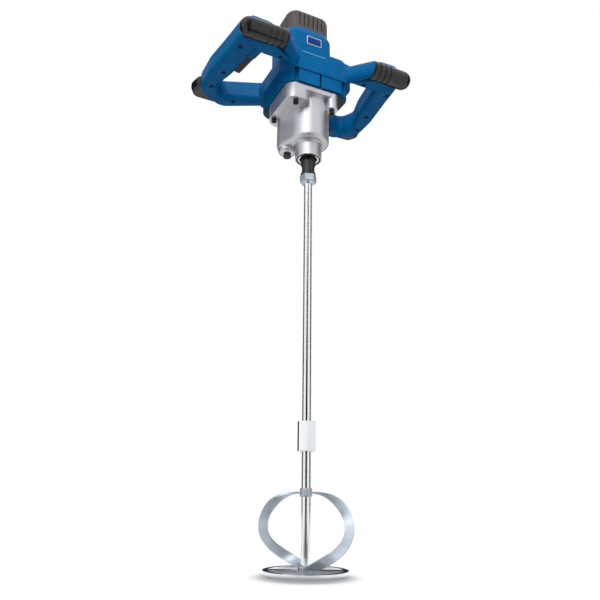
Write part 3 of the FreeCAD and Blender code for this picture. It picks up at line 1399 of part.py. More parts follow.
def make_motor():
    """Stator, armature, brushes and the bridge that carries the top bearing."""
    axis = N.motor_offset
    shoe_in = N.rotor_radius + N.air_gap
    yoke_in = N.stator_radius - N.yoke_thickness
    bottom, top = N.stator_bottom, N.stator_top
    yoke = cylinder(N.stator_radius, bottom, top, 0.0, axis).cut(cylinder(yoke_in, bottom, top, 0.0, axis))
    pole = block(-N.pole_width * 0.5, N.pole_width * 0.5, axis - yoke_in - N.overrun, axis + yoke_in + N.overrun,
                 bottom, top)
    shoe_out = shoe_in + N.pole_shoe_depth
    shoes = cylinder(shoe_out, bottom, top, 0.0, axis)
    sides = [block(s * N.rotor_radius - N.pole_width * 0.3, s * N.rotor_radius + N.pole_width * 0.3,
                   axis - N.stator_radius, axis + N.stator_radius, bottom, top) for s in (-1.0, 1.0)]
    shoes = shoes.cut(sides)
    core = join([yoke, pole, shoes]).cut(cylinder(shoe_in, bottom, top, 0.0, axis))
    solid_node("stator_core", core)
    z0, z1 = bottom - N.coil_overhang, top + N.coil_overhang
    inner = shoe_out + N.coil_clearance
    outer = yoke_in - N.coil_clearance
    wrap = cylinder(outer, z0, z1, 0.0, axis).cut(cylinder(inner, z0, z1, 0.0, axis))
    half_neck = N.pole_width * 0.5 + N.coil_clearance
    neck = block(-half_neck, half_neck, axis - N.stator_radius, axis + N.stator_radius, bottom - N.coil_clearance,
                 top + N.coil_clearance)
    gap = block(-N.stator_radius, N.stator_radius, axis - N.pole_width * 0.35, axis + N.pole_width * 0.35, z0, z1)
    coils = wrap.cut([neck, gap])
    solid_node("field_coils", Part.makeCompound(coils.Solids))

    pinion_top = N.gasket_top
    pinion = gear_solid(N.first_module, MOTOR_PINION_TEETH, N.first_gear_bottom - N.gear_room * 0.5, pinion_top, 0.0,
                        axis, TO_MOTOR + math.pi + math.pi / MOTOR_PINION_TEETH)
    shaft_top = N.top_bearing_top
    rod = cylinder(N.armature_shaft_radius, pinion_top - N.gear_room, shaft_top, 0.0, axis)
    solid_node("armature_shaft", join([rod, pinion]))
    motor_y = S.motor_offset
    bore = S.armature_shaft_radius + S.fit_clearance
    ring("rotor_core", bore, S.rotor_radius, S.stator_bottom, S.stator_top, ZERO, motor_y)
    windings = new_body("rotor_windings", ZERO, motor_y)
    for level in (S.stator_bottom - S.winding_height, S.stator_top):
        outline = new_sketch(windings, "XY_Plane", level)
        draw_circle(outline, ZERO, ZERO, S.winding_radius)
        draw_circle(outline, ZERO, ZERO, bore)
        add_pad(windings, outline, S.winding_height)
    copper = ring("commutator", bore, S.commutator_radius, S.commutator_bottom, S.commutator_top, ZERO, motor_y)
    slot = new_sketch(copper, "XY_Plane", S.commutator_top)
    half_slot = S.commutator_slot * 0.5
    floor = S.commutator_radius - S.commutator_slot
    beyond = S.commutator_radius + S.overrun
    draw_polygon(slot, ((floor, -half_slot), (beyond, -half_slot), (beyond, half_slot), (floor, half_slot)))
    first = add_pocket(copper, slot, S.commutator_height)
    doc.recompute()
    pattern = copper.newObject("PartDesign::PolarPattern", "commutator_slots")
    pattern.Originals = [first]
    pattern.Axis = (slot, ["N_Axis"])
    pattern.Angle = 360.0
    pattern.Occurrences = COMMUTATOR_SLOTS
    copper.Tip = pattern

    web_top = N.fan_bottom + N.fan_web
    fan_top = N.fan_bottom + N.fan_height
    fan_parts = [cylinder(N.fan_radius, N.fan_bottom, web_top, 0.0, axis),
                 cylinder(N.fan_hub_radius, N.fan_bottom, fan_top, 0.0, axis)]
    for number in range(FAN_BLADES):
        vane = block(N.fan_hub_radius * 0.8, N.fan_radius - N.fan_web, -N.fan_blade_thickness * 0.5,
                     N.fan_blade_thickness * 0.5, N.fan_bottom, fan_top)
        vane.rotate(ORIGIN, UP, 360.0 * number / FAN_BLADES)
        vane.translate(vec(0.0, axis, 0.0))
        fan_parts.append(vane)
    fan = join(fan_parts).cut(cylinder(N.armature_shaft_radius + N.fit_clearance, N.fan_bottom, fan_top, 0.0, axis))
    solid_node("fan", fan)

    ball_bearing("lower_motor", S.armature_shaft_radius, S.motor_bearing_radius, S.motor_bearing_bottom,
                 S.motor_bearing_height, ZERO, motor_y)
    ball_bearing("upper_motor", S.armature_shaft_radius, S.motor_bearing_radius, S.top_bearing_bottom,
                 S.motor_bearing_height, ZERO, motor_y)
    make_bridge()


def make_bridge():
    """The bridge across the barrel's top, with the brush holders and brushes under its arms."""
    axis = N.motor_offset
    low, high = N.bridge_bottom, N.bridge_top
    rim = cylinder(N.stator_radius, low, high, 0.0, axis)
    rim = rim.cut(cylinder(N.stator_radius - N.bridge_ring_width, low, high, 0.0, axis))
    hub = cylinder(N.motor_boss_radius, low, high, 0.0, axis)
    reach = N.stator_radius - N.bridge_ring_width * 0.5
    half = N.bridge_arm_width * 0.5
    arms = block(-reach, reach, axis - half, axis + half, low, high)
    seat = cylinder(N.motor_bearing_radius + N.fit_clearance, low, N.top_bearing_top + N.running_clearance, 0.0, axis)
    solid_node("bearing_bridge", join([rim, hub, arms]).cut(seat))
    holders = []
    brushes = []
    outer_half = N.brush_width * 0.5 + N.brush_wall
    z_middle = (N.commutator_bottom + N.commutator_top) * 0.5
    tall = N.brush_height * 0.5
    start = N.commutator_radius + N.air_gap
    for side in (-1.0, 1.0):
        span = sorted((side * (start + N.air_gap), side * (start + N.brush_holder_length)))
        case = block(span[0], span[1], axis - outer_half, axis + outer_half, z_middle - tall - N.brush_wall, low)
        room = N.fit_clearance
        way = sorted((side * start, side * (start + N.brush_length + N.air_gap)))
        hole = block(way[0], way[1], axis - N.brush_width * 0.5 - room, axis + N.brush_width * 0.5 + room,
                     z_middle - tall - room, z_middle + tall + room)
        holders.append(case.cut(hole))
        span = sorted((side * (N.commutator_radius + N.running_clearance), side * (start + N.brush_length)))
        brushes.append(block(span[0], span[1], axis - N.brush_width * 0.5, axis + N.brush_width * 0.5,
                             z_middle - tall, z_middle + tall))
    solid_node("brush_holders", Part.makeCompound(holders))
    solid_node("carbon_brushes", Part.makeCompound(brushes))


# Hand controls

def make_controls():
    """The trigger, lock button and speed dial with their springs and modules, and the cord inlet."""
    wall = N.shell_wall + N.seat_clearance
    lip_back = -wall - N.trigger_lip_depth
    half, tall = N.trigger_half_length, N.trigger_half_height
    face = in_trigger_frame(-half, half, lip_back, N.trigger_reach, -tall, tall)
    centre, along, inward = trigger_frame()

    def outer_edge(edge):
        depth = (edge.CenterOfMass - centre).dot(inward)
        return abs(depth - N.trigger_reach) < N.fit_clearance

    face = soften(face, N.trigger_edge_radius, outer_edge)
    plate = in_trigger_frame(-half - N.trigger_lip, half + N.trigger_lip, lip_back, -wall, -tall - N.trigger_lip,
                             tall + N.trigger_lip)
    nub_end = lip_back - N.trigger_nub_length
    solid_node("trigger", join([face, plate, trigger_rod(N.trigger_nub_radius, nub_end, lip_back)]))
    switch_front = -N.switch_setback
    spring = trigger_rod(N.trigger_spring_radius, switch_front, lip_back)
    spring = spring.cut(trigger_rod(N.trigger_spring_radius - N.spring_wire, switch_front, lip_back))
    solid_node("trigger_spring", spring)
    back = switch_front - N.switch_depth
    case = in_trigger_frame(-N.switch_half_length, N.switch_half_length, back, switch_front, -N.switch_drop,
                            N.switch_rise)
    foot_low = N.loop_bottom + N.shell_wall + N.seat_clearance - N.split + N.trigger_drop
    half = N.switch_half_length * 0.6
    foot = in_trigger_frame(-half, half, switch_front - N.switch_foot_depth, switch_front, foot_low,
                            -N.switch_drop)
    pocket_floor = switch_front - N.trigger_travel - N.seat_clearance
    pocket = trigger_rod(N.trigger_spring_radius + N.seat_clearance, pocket_floor, switch_front)
    solid_node("switch_module", join([case, foot]).cut(pocket))

    x, y = lock_place()
    ceiling = N.loop_top - N.shell_wall - N.seat_clearance
    top = N.loop_top + N.lock_button_rise
    stem = cylinder(N.lock_button_radius, ceiling - N.lock_lip_height, top, x, y)
    stem = soften(stem, N.lock_lip * 0.6, level_edge(top, top, N.fit_clearance))
    collar = cylinder(N.lock_button_radius + N.lock_lip, ceiling - N.lock_lip_height, ceiling, x, y)
    solid_node("lock_button", join([stem, collar]))
    low = N.split - N.trigger_drop + N.switch_rise
    coil = cylinder(N.lock_spring_radius, low, ceiling - N.lock_lip_height, x, y)
    solid_node("lock_spring", coil.cut(cylinder(N.lock_spring_radius - N.spring_wire, low, top, x, y)))

    x, y, z = dial_place()
    half_dial = N.dial_width * 0.5
    disc = bar(N.dial_radius, x - half_dial, x + half_dial, y, z)
    notches = []
    for number in range(KNURLS):
        angle = 2.0 * math.pi * number / KNURLS
        notches.append(bar(N.dial_knurl_depth, x - half_dial, x + half_dial, y + N.dial_radius * math.cos(angle),
                           z + N.dial_radius * math.sin(angle)))
    end = half_dial + N.dial_ear
    solid_node("speed_dial", join([disc.cut(notches), bar(N.dial_shaft_radius, x - end, x + end, y, z)]))
    half_box = N.controller_length * 0.5
    floor = N.loop_bottom + N.shell_wall + N.seat_clearance
    low = floor + N.controller_rise
    box = block(x - half_box, x + half_box, y - N.controller_half_width, y + N.controller_half_width, low,
                low + N.controller_height)
    foot = cylinder(N.controller_foot * 0.5, floor, low, x, y)
    solid_node("speed_controller", join([box, foot]))

    place, outward = inlet_frame()
    start = place - outward * N.inlet_length
    sleeve = Part.makeCylinder(N.inlet_radius, N.inlet_length + N.inlet_lip, start, outward)
    bore = Part.makeCylinder(N.inlet_bore_radius, N.inlet_length + N.inlet_lip, start, outward)
    solid_node("cord_inlet", sleeve.cut(bore))


def check_document():
    """Stop if any object failed or any piece has no valid solid."""
    doc.recompute()
    for item in doc.Objects:
        if "Invalid" in item.State or "Error" in item.State:
            raise RuntimeError(f"{item.Name} failed: {item.State}")
    for node in NODES:
        if node.Shape.isNull() or not node.Shape.isValid() or not node.Shape.Solids:
            raise RuntimeError(f"{node.Label} has no valid solid")


def main():
    """Build every piece, check the document and write one file for each piece."""
    make_stirrer()
    make_spindle()
    make_gear_housing()
    make_gear_plate()
    make_layshaft()
    make_shells()
    make_grips()
    make_cap()
    make_motor()
    make_controls()
    check_document()
    os.makedirs("parts", exist_ok=True)
    for node in NODES:
        node.Shape.exportStep(f"parts/{node.Label}.step")
    print(len(NODES), "pieces written")


main()
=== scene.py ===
"""Looks of a two-handled mixing drill: finishes, small detail, light and camera round its model.

Metres, +Z up along the spindle, -Y the front. Every piece rides on the body that carries it.
"""

import logging
import math
from collections.abc import Sequence
from dataclasses import dataclass
from enum import Enum
from functools import cache

import bmesh
import bpy
from mathutils import Matrix, Vector
from mathutils.bvhtree import BVHTree


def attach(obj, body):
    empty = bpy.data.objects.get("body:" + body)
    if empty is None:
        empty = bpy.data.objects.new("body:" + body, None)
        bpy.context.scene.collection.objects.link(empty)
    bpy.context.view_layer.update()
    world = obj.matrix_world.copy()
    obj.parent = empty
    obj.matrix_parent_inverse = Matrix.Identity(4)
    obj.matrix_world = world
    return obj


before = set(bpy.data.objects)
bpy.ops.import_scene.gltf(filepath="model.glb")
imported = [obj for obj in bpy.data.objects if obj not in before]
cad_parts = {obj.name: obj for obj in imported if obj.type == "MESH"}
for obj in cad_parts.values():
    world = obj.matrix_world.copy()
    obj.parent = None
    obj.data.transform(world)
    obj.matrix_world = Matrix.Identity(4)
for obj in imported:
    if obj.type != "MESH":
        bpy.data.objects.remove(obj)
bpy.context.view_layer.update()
LOG = logging.getLogger("mixing_drill")
MERGE_DISTANCE = 1e-6
SHARP_EDGE_DEGREES = 38.0
QUARTER_TURN = math.pi / 2
WHITE = (1.0, 1.0, 1.0, 1.0)
Triple = tuple[float, float, float]


class Body(str, Enum):
    """Bodies of the drill that a piece can ride on."""

    HOUSING = "housing"
    SPINDLE = "spindle"
    TRIGGER = "trigger"


class Layout(Enum):
    """How a run of small bars is laid out."""

    ROW = "bars in a row"
    RING = "bars round a ring"


class Pattern(Enum):
    """What breaks up the surface of a finish."""

    SPARK = "spark-eroded mould"
    STIPPLE = "stippled rubber"
    DRAWN = "drawn and plated metal"
    CAST = "die casting"
    SHEETS = "stacked sheets or turns of wire"


class Graph:
    """Adds nodes to one tree and links them."""

    def __init__(self, tree: bpy.types.NodeTree) -> None:
        """Keeps the tree that the nodes go into."""
        self.tree = tree

    def add(self, kind: str, inputs: dict | None = None, **settings: object) -> bpy.types.Node:
        """Adds one node.

        Args:
            kind: The node's type name.
            inputs: Values or sockets for its inputs, by name or number.
            **settings: Properties of the node itself.

        Returns:
            The new node.
        """
        node = self.tree.nodes.new(kind)
        for key, value in settings.items():
            setattr(node, key, value)
        for key, value in (inputs or {}).items():
            self.put(value, node.inputs[key])
        return node

    def put(self, value: object, socket: bpy.types.NodeSocket) -> None:
        """Links a socket's value to an input, or writes a plain value into it.

        Args:
            value: An output socket or a plain value.
            socket: The input that takes it.
        """
        if isinstance(value, bpy.types.NodeSocket):
            self.tree.links.new(value, socket)
        else:
            socket.default_value = value

    def math(self, operation: str, first: object, second: object = 0.0) -> bpy.types.NodeSocket:
        """Works out one sum on two values and returns its socket."""
        return self.add("ShaderNodeMath", {0: first, 1: second}, operation=operation).outputs[0]

    def spread(self, value: object, source: Sequence[object], target: Sequence[float],
               smooth: bool = False) -> bpy.types.NodeSocket:
        """Maps a value from one range to another, held at its ends.

        Args:
            value: The socket that is mapped.
            source: Its lower and upper end.
            target: What those ends become.
            smooth: Whether the change eases in and out.

        Returns:
            The mapped value's socket.
        """
        ranges = {0: value, 1: source[0], 2: source[1], 3: target[0], 4: target[1]}
        way = "SMOOTHSTEP" if smooth else "LINEAR"
        return self.add("ShaderNodeMapRange", ranges, interpolation_type=way).outputs[0]

    def mix(self, share: object, first: object, second: object) -> bpy.types.NodeSocket:
        """Mixes two colours by a share that varies over the surface.

        Args:
            share: The socket that gives the second colour's share.
            first: Colour or socket at share 0.
            second: Colour or socket at share 1.

        Returns:
            The mixed colour's socket.
        """
        pair = [(*c, 1.0) if isinstance(c, tuple) else c for c in (first, second)]
        inputs = {0: share, 6: pair[0], 7: pair[1]}
        return self.add("ShaderNodeMix", inputs, data_type="RGBA").outputs[2]

    def group(self, tree: bpy.types.NodeTree, **values: object) -> bpy.types.Node:
        """Places a shared node group with its own values.

        Args:
            tree: The group.
            **values: Values or sockets for its inputs, by name.

        Returns:
            The group's node.
        """
        node = self.add("ShaderNodeGroup", node_tree=tree)
        for key, value in values.items():
            self.put(value, node.inputs[key])
        return node


class Effects:
    """Shader node groups that several finishes share, each built once."""

    CLOUD_ENDS = (0.3, 0.7)
    CLOUD_DETAIL = 4.0
    GRAIN_DETAIL = 2.0
    CELL_CORE = 0.1
    EDGE_ENDS = (0.97, 0.8)
    EDGE_SAMPLES = 4

    @staticmethod
    def start(name: str, inputs: dict[str, str],
              outputs: dict[str, str]) -> tuple[Graph, bpy.types.Node, bpy.types.Node]:
        """Begins a shader group.

        Args:
            name: The group's name.
            inputs: Socket kinds of its inputs, by name.
            outputs: Socket kinds of its outputs, by name.

        Returns:
            The graph of the group, its input node and its output node.
        """
        tree = bpy.data.node_groups.new(name, "ShaderNodeTree")
        for side, sockets in (("INPUT", inputs), ("OUTPUT", outputs)):
            for key, kind in sockets.items():
                tree.interface.new_socket(name=key, in_out=side, socket_type=f"NodeSocket{kind}")
        graph = Graph(tree)
        return graph, graph.add("NodeGroupInput"), graph.add("NodeGroupOutput")

    @classmethod
    @cache
    def tone(cls) -> bpy.types.NodeTree:
        """Broad, cloudy change of tone, with a fine grain on top.

        Returns:
            A group with inputs Broad, Fine and Stretch and outputs Tone and Grain.
        """
        graph, start, end = cls.start(
            "cloudy_tone", {"Broad": "Float", "Fine": "Float", "Stretch": "Vector"},
            {"Tone": "Float", "Grain": "Float"})
        place = graph.add("ShaderNodeTexCoord").outputs["Object"]
        place = graph.add("ShaderNodeMapping", {"Vector": place,
                                                "Scale": start.outputs["Stretch"]}).outputs[0]
        broad = graph.add("ShaderNodeTexNoise", {"Vector": place, "Scale": start.outputs["Broad"],
                                                 "Detail": cls.CLOUD_DETAIL})
        fine = graph.add("ShaderNodeTexNoise", {"Vector": place, "Scale": start.outputs["Fine"],
                                                "Detail": cls.GRAIN_DETAIL})
        graph.put(graph.spread(broad.outputs[0], cls.CLOUD_ENDS, (0.0, 1.0)), end.inputs["Tone"])
        graph.put(fine.outputs[0], end.inputs["Grain"])
        return graph.tree

    @classmethod
    @cache
    def cells(cls) -> bpy.types.NodeTree:
        """Small rounded cells, as on a stippled or eroded mould.

        Returns:
            A group with inputs Scale and Soften and output Height.
        """
        graph, start, end = cls.start("rounded_cells", {"Scale": "Float", "Soften": "Float"},
                                      {"Height": "Float"})
        place = graph.add("ShaderNodeTexCoord").outputs["Object"]
        cell = graph.add("ShaderNodeTexVoronoi", {"Vector": place, "Scale": start.outputs["Scale"]})
        ends = (cls.CELL_CORE, start.outputs["Soften"])
        height = graph.spread(cell.outputs[0], ends, (1.0, 0.0), smooth=True)
        graph.put(height, end.inputs["Height"])
        return graph.tree

    @classmethod
    @cache
    def bands(cls) -> bpy.types.NodeTree:
        """Level bands, as of stacked sheets, turns of wire or tool marks.

        Returns:
            A group with inputs Pitch and Waver and output Height.
        """
        graph, start, end = cls.start("level_bands", {"Pitch": "Float", "Waver": "Float"},
                                      {"Height": "Float"})
        place = graph.add("ShaderNodeTexCoord").outputs["Object"]
        wave = graph.add("ShaderNodeTexWave", {"Vector": place, "Scale": start.outputs["Pitch"],
                                               "Distortion": start.outputs["Waver"]},
                         bands_direction="Z")
        graph.put(wave.outputs["Fac"], end.inputs["Height"])
        return graph.tree

    @classmethod
    @cache
    def edges(cls) -> bpy.types.NodeTree:
        """Edges rounded over, and where they are.

        Returns:
            A group with input Radius and outputs Normal and Edge.
        """
        graph, start, end = cls.start("rounded_edges", {"Radius": "Float"},
                                      {"Normal": "Vector", "Edge": "Float"})
        soft = graph.add("ShaderNodeBevel", {"Radius": start.outputs["Radius"]},
                         samples=cls.EDGE_SAMPLES).outputs[0]
        flat = graph.add("ShaderNodeNewGeometry").outputs["Normal"]
        along = graph.add("ShaderNodeVectorMath", {0: soft, 1: flat},
                          operation="DOT_PRODUCT").outputs["Value"]
        graph.put(soft, end.inputs["Normal"])
        graph.put(graph.spread(along, cls.EDGE_ENDS, (0.0, 1.0)), end.inputs["Edge"])
        return graph.tree


CELL_SOFTENING = {Pattern.SPARK: 0.7, Pattern.STIPPLE: 0.5, Pattern.CAST: 0.9}
CELLS_PER_GRAIN = 0.6
BAND_WAVER = 0.4
RELIEF_SHARE = 0.6


@dataclass(frozen=True)
class Finish:
    """One finish: its two tones, its gloss and the pattern of its surface.

    The two values of rough belong to shade and colour. Scale and broad count the grain and the
    clouds of tone in a metre; depth and edge are the relief and the edge radius in metres.
    """

    name: str
    colour: Triple
    shade: Triple
    rough: tuple[float, float]
    pattern: Pattern
    scale: float
    depth: float
    metallic: float = 0.0
    coat: float = 0.0
    coat_rough: float = 0.25
    specular: float = 0.5
    broad: float = 28.0
    stretch: Triple = (1.0, 1.0, 1.0)
    # Edge colour: partly wear, partly a painted highlight along rounded edges.
    wear_and_highlight: Triple | None = None
    edge: float = 0.0005

    def material(self) -> bpy.types.Material:
        """The finish as a material, made the first time it is asked for.

        Returns:
            The material of this finish.
        """
        label = f"finish_{self.name}"
        made = bpy.data.materials.get(label)
        if made is not None:
            return made
        made = bpy.data.materials.new(label)
        made.use_nodes = True
        graph = Graph(made.node_tree)
        shader = made.node_tree.nodes["Principled BSDF"]
        clouds = graph.group(Effects.tone(), Broad=self.broad, Fine=self.scale,
                             Stretch=self.stretch)
        tone, grain = clouds.outputs["Tone"], clouds.outputs["Grain"]
        edge = graph.group(Effects.edges(), Radius=self.edge)
        colour = graph.mix(tone, self.shade, self.colour)
        # Rounded edges take the edge colour in grains: partly wear, partly a painted highlight.
        if self.wear_and_highlight is not None:
            wear_and_highlight_mask = graph.math("MULTIPLY", edge.outputs["Edge"], grain)
            colour = graph.mix(wear_and_highlight_mask, colour, self.wear_and_highlight)
        graph.put(colour, shader.inputs["Base Color"])
        graph.put(graph.spread(tone, (0.0, 1.0), self.rough), shader.inputs["Roughness"])
        bump = graph.add("ShaderNodeBump", {"Strength": 1.0, "Distance": self.depth,
                                            "Height": self.height(graph, grain),
                                            "Normal": edge.outputs["Normal"]})
        graph.put(bump.outputs[0], shader.inputs["Normal"])
        plain = {"Metallic": self.metallic, "Coat Weight": self.coat,
                 "Coat Roughness": self.coat_rough, "Specular IOR Level": self.specular}
        for key, value in plain.items():
            shader.inputs[key].default_value = value
        return made

    def height(self, graph: Graph, grain: bpy.types.NodeSocket) -> bpy.types.NodeSocket:
        """The height of the surface's small relief.

        Args:
            graph: The material's graph.
            grain: The fine grain that every finish has.

        Returns:
            The socket of the height.
        """
        if self.pattern is Pattern.DRAWN:
            return grain
        if self.pattern is Pattern.SHEETS:
            relief = graph.group(Effects.bands(), Pitch=self.scale, Waver=BAND_WAVER)
        else:
            relief = graph.group(Effects.cells(), Scale=self.scale * CELLS_PER_GRAIN,
                                 Soften=CELL_SOFTENING[self.pattern])
        coarse = graph.math("MULTIPLY", relief.outputs["Height"], RELIEF_SHARE)
        return graph.math("ADD", coarse, graph.math("MULTIPLY", grain, 1.0 - RELIEF_SHARE))


# The shell's light edge colour paints highlights along its edges.
BLUE_SHELL = Finish(
    "blue_shell", (0.0, 0.150, 0.395), (0.0, 0.127, 0.342), (0.42, 0.33), Pattern.SPARK,
    1700.0, 0.00003, specular=0.08, wear_and_highlight=(0.10, 0.34, 0.60), edge=0.0009)
BLACK_RUBBER = Finish(
    "black_rubber", (0.010, 0.0095, 0.011), (0.006, 0.0055, 0.0065), (0.26, 0.18), Pattern.STIPPLE,
    1500.0, 0.00003, wear_and_highlight=(0.05, 0.047, 0.048), edge=0.0007)
GREY_CAP = Finish(
    "grey_cap", (0.115, 0.100, 0.094), (0.090, 0.078, 0.073), (0.45, 0.36), Pattern.SPARK,
    1600.0, 0.00004, specular=0.25, wear_and_highlight=(0.22, 0.20, 0.19), edge=0.0007)
BLACK_PLASTIC = Finish(
    "black_plastic", (0.026, 0.021, 0.020), (0.017, 0.014, 0.014), (0.45, 0.35), Pattern.SPARK,
    2200.0, 0.00003, specular=0.25, wear_and_highlight=(0.07, 0.06, 0.058))
DIE_CAST = Finish(
    "die_cast", (0.67, 0.67, 0.695), (0.57, 0.57, 0.60), (0.50, 0.40), Pattern.CAST,
    1400.0, 0.00006, metallic=1.0, broad=22.0, wear_and_highlight=(0.92, 0.92, 0.93), edge=0.001)
SEAL_PAPER = Finish(
    "seal_paper", (0.020, 0.021, 0.024), (0.012, 0.012, 0.014), (0.7, 0.6), Pattern.CAST,
    2600.0, 0.00003)
BRIGHT_STEEL = Finish(
    "bright_steel", (0.92, 0.94, 0.96), (0.83, 0.86, 0.89), (0.20, 0.13), Pattern.DRAWN,
    900.0, 0.000005, metallic=1.0, broad=60.0, stretch=(1.0, 1.0, 0.16), wear_and_highlight=(0.8, 0.83, 0.87))
ZINC_STRIP = Finish(
    "zinc_strip", (0.54, 0.605, 0.67), (0.46, 0.52, 0.58), (0.60, 0.50), Pattern.DRAWN,
    700.0, 0.000012, metallic=1.0, broad=45.0, wear_and_highlight=(0.86, 0.88, 0.91))
DARK_STEEL = Finish(
    "dark_steel", (0.055, 0.055, 0.060), (0.028, 0.028, 0.031), (0.42, 0.28), Pattern.DRAWN,
    1100.0, 0.00002, metallic=0.85, broad=70.0, wear_and_highlight=(0.30, 0.30, 0.31))
BLACK_SCREW = Finish(
    "black_screw", (0.040, 0.040, 0.043), (0.020, 0.020, 0.022), (0.5, 0.36), Pattern.DRAWN,
    1600.0, 0.00002, metallic=0.7, broad=120.0, wear_and_highlight=(0.18, 0.18, 0.19))
GEAR_STEEL = Finish(
    "gear_steel", (0.48, 0.48, 0.50), (0.36, 0.36, 0.38), (0.36, 0.24), Pattern.DRAWN,
    1300.0, 0.00001, metallic=1.0, broad=80.0, wear_and_highlight=(0.62, 0.62, 0.63))
BEARING_STEEL = Finish(
    "bearing_steel", (0.74, 0.74, 0.76), (0.62, 0.62, 0.64), (0.26, 0.16), Pattern.DRAWN,
    1500.0, 0.000008, metallic=1.0, broad=90.0)
BUSH_BRONZE = Finish(
    "bush_bronze", (0.50, 0.30, 0.12), (0.38, 0.21, 0.08), (0.45, 0.35), Pattern.CAST,
    2400.0, 0.00003, metallic=1.0, broad=90.0)
COPPER_WIRE = Finish(
    "copper_wire", (0.60, 0.21, 0.08), (0.42, 0.13, 0.045), (0.35, 0.25), Pattern.SHEETS,
    260.0, 0.0002, metallic=0.8, coat=0.5)
SHEET_STACK = Finish(
    "sheet_stack", (0.23, 0.23, 0.24), (0.15, 0.15, 0.16), (0.55, 0.42), Pattern.SHEETS,
    320.0, 0.0001, metallic=0.8)
PRESSED_CARBON = Finish(
    "pressed_carbon", (0.028, 0.028, 0.028), (0.015, 0.015, 0.015), (0.7, 0.55), Pattern.CAST,
    2800.0, 0.00002)
PLATE_BLUE = Finish(
    "plate_blue", (0.004, 0.050, 0.225), (0.003, 0.040, 0.185), (0.40, 0.30), Pattern.SPARK,
    3000.0, 0.00001, specular=0.12)
PLATE_RIM = Finish(
    "plate_rim", (0.66, 0.72, 0.78), (0.56, 0.62, 0.69), (0.36, 0.28), Pattern.DRAWN,
    1800.0, 0.00001)
# Light blue, well above the shell's blue: a painted highlight along the seam lip.
SEAM_LIP_PAINTED_HIGHLIGHT = Finish(
    "seam_lip_painted_highlight", (0.26, 0.52, 0.74), (0.18, 0.42, 0.64), (0.36, 0.28), Pattern.SPARK,
    1700.0, 0.00001)
# Near-black bars that paint the shade at the bottom of the cap's grooves.
SLOT_PAINTED_SHADE = Finish(
    "slot_painted_shade", (0.020, 0.017, 0.016), (0.010, 0.009, 0.008), (0.75, 0.6), Pattern.SPARK,
    1800.0, 0.00003)
WELD_STEEL = Finish(
    "weld_steel", (0.58, 0.62, 0.67), (0.40, 0.43, 0.47), (0.42, 0.3), Pattern.CAST,
    1500.0, 0.00005, metallic=1.0, broad=150.0)


def in_scene(name: str, data: bpy.types.ID) -> bpy.types.Object:
    """Makes an object from its data and puts it in the scene.

    Args:
        name: The object's name.
        data: Its mesh, lamp or camera data.

    Returns:
        The new object.
    """
    made = bpy.data.objects.new(name, data)
    bpy.context.scene.collection.objects.link(made)
    return made


def paint(finish: Finish, *names: str) -> None:
    """Gives CAD nodes a finish.

    Args:
        finish: The finish they get.
        *names: The nodes' names.
    """
    material = finish.material()
    for name in names:
        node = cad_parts[name]
        if not node.material_slots:
            node.data.materials.append(material)
        for slot in node.material_slots:
            slot.material = material
        LOG.info("%s is dressed in %s", name, finish.name)


def settle(piece: bpy.types.Object, body: Body) -> None:
    """Makes a piece ride on a body and logs it.

    Args:
        piece: The finished piece.
        body: The body that carries it.
    """
    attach(piece, body.value)
    LOG.info("%s rides on %s, %d faces", piece.name, body.value, len(piece.data.polygons))


def surface_point(node: str, origin: Vector, direction: Vector) -> Vector:
    """Where a straight line first meets a CAD node.

    Args:
        node: The node's name.
        origin: Where the line starts.
        direction: Which way it goes.

    Returns:
        The point on the node's surface.
    """
    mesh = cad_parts[node].data
    corners, faces = [v.co for v in mesh.vertices], [p.vertices for p in mesh.polygons]
    return BVHTree.FromPolygons(corners, faces).ray_cast(origin, direction)[0]


def plain_piece(name: str, shape: bmesh.types.BMesh, finish: Finish) -> bpy.types.Object:
    """Turns a worked mesh into a piece at the origin, with smooth faces and sharp edges kept.

    Args:
        name: The piece's name.
        shape: The mesh that was worked, which is freed.
        finish: The finish it gets.

    Returns:
        The new piece.
    """
    bmesh.ops.remove_doubles(shape, verts=shape.verts, dist=MERGE_DISTANCE)
    bmesh.ops.recalc_face_normals(shape, faces=shape.faces)
    mesh = bpy.data.meshes.new(name)
    shape.to_mesh(mesh)
    shape.free()
    mesh.materials.append(finish.material())
    mesh.shade_smooth()
    mesh.set_sharp_from_angle(angle=math.radians(SHARP_EDGE_DEGREES))
    return in_scene(name, mesh)


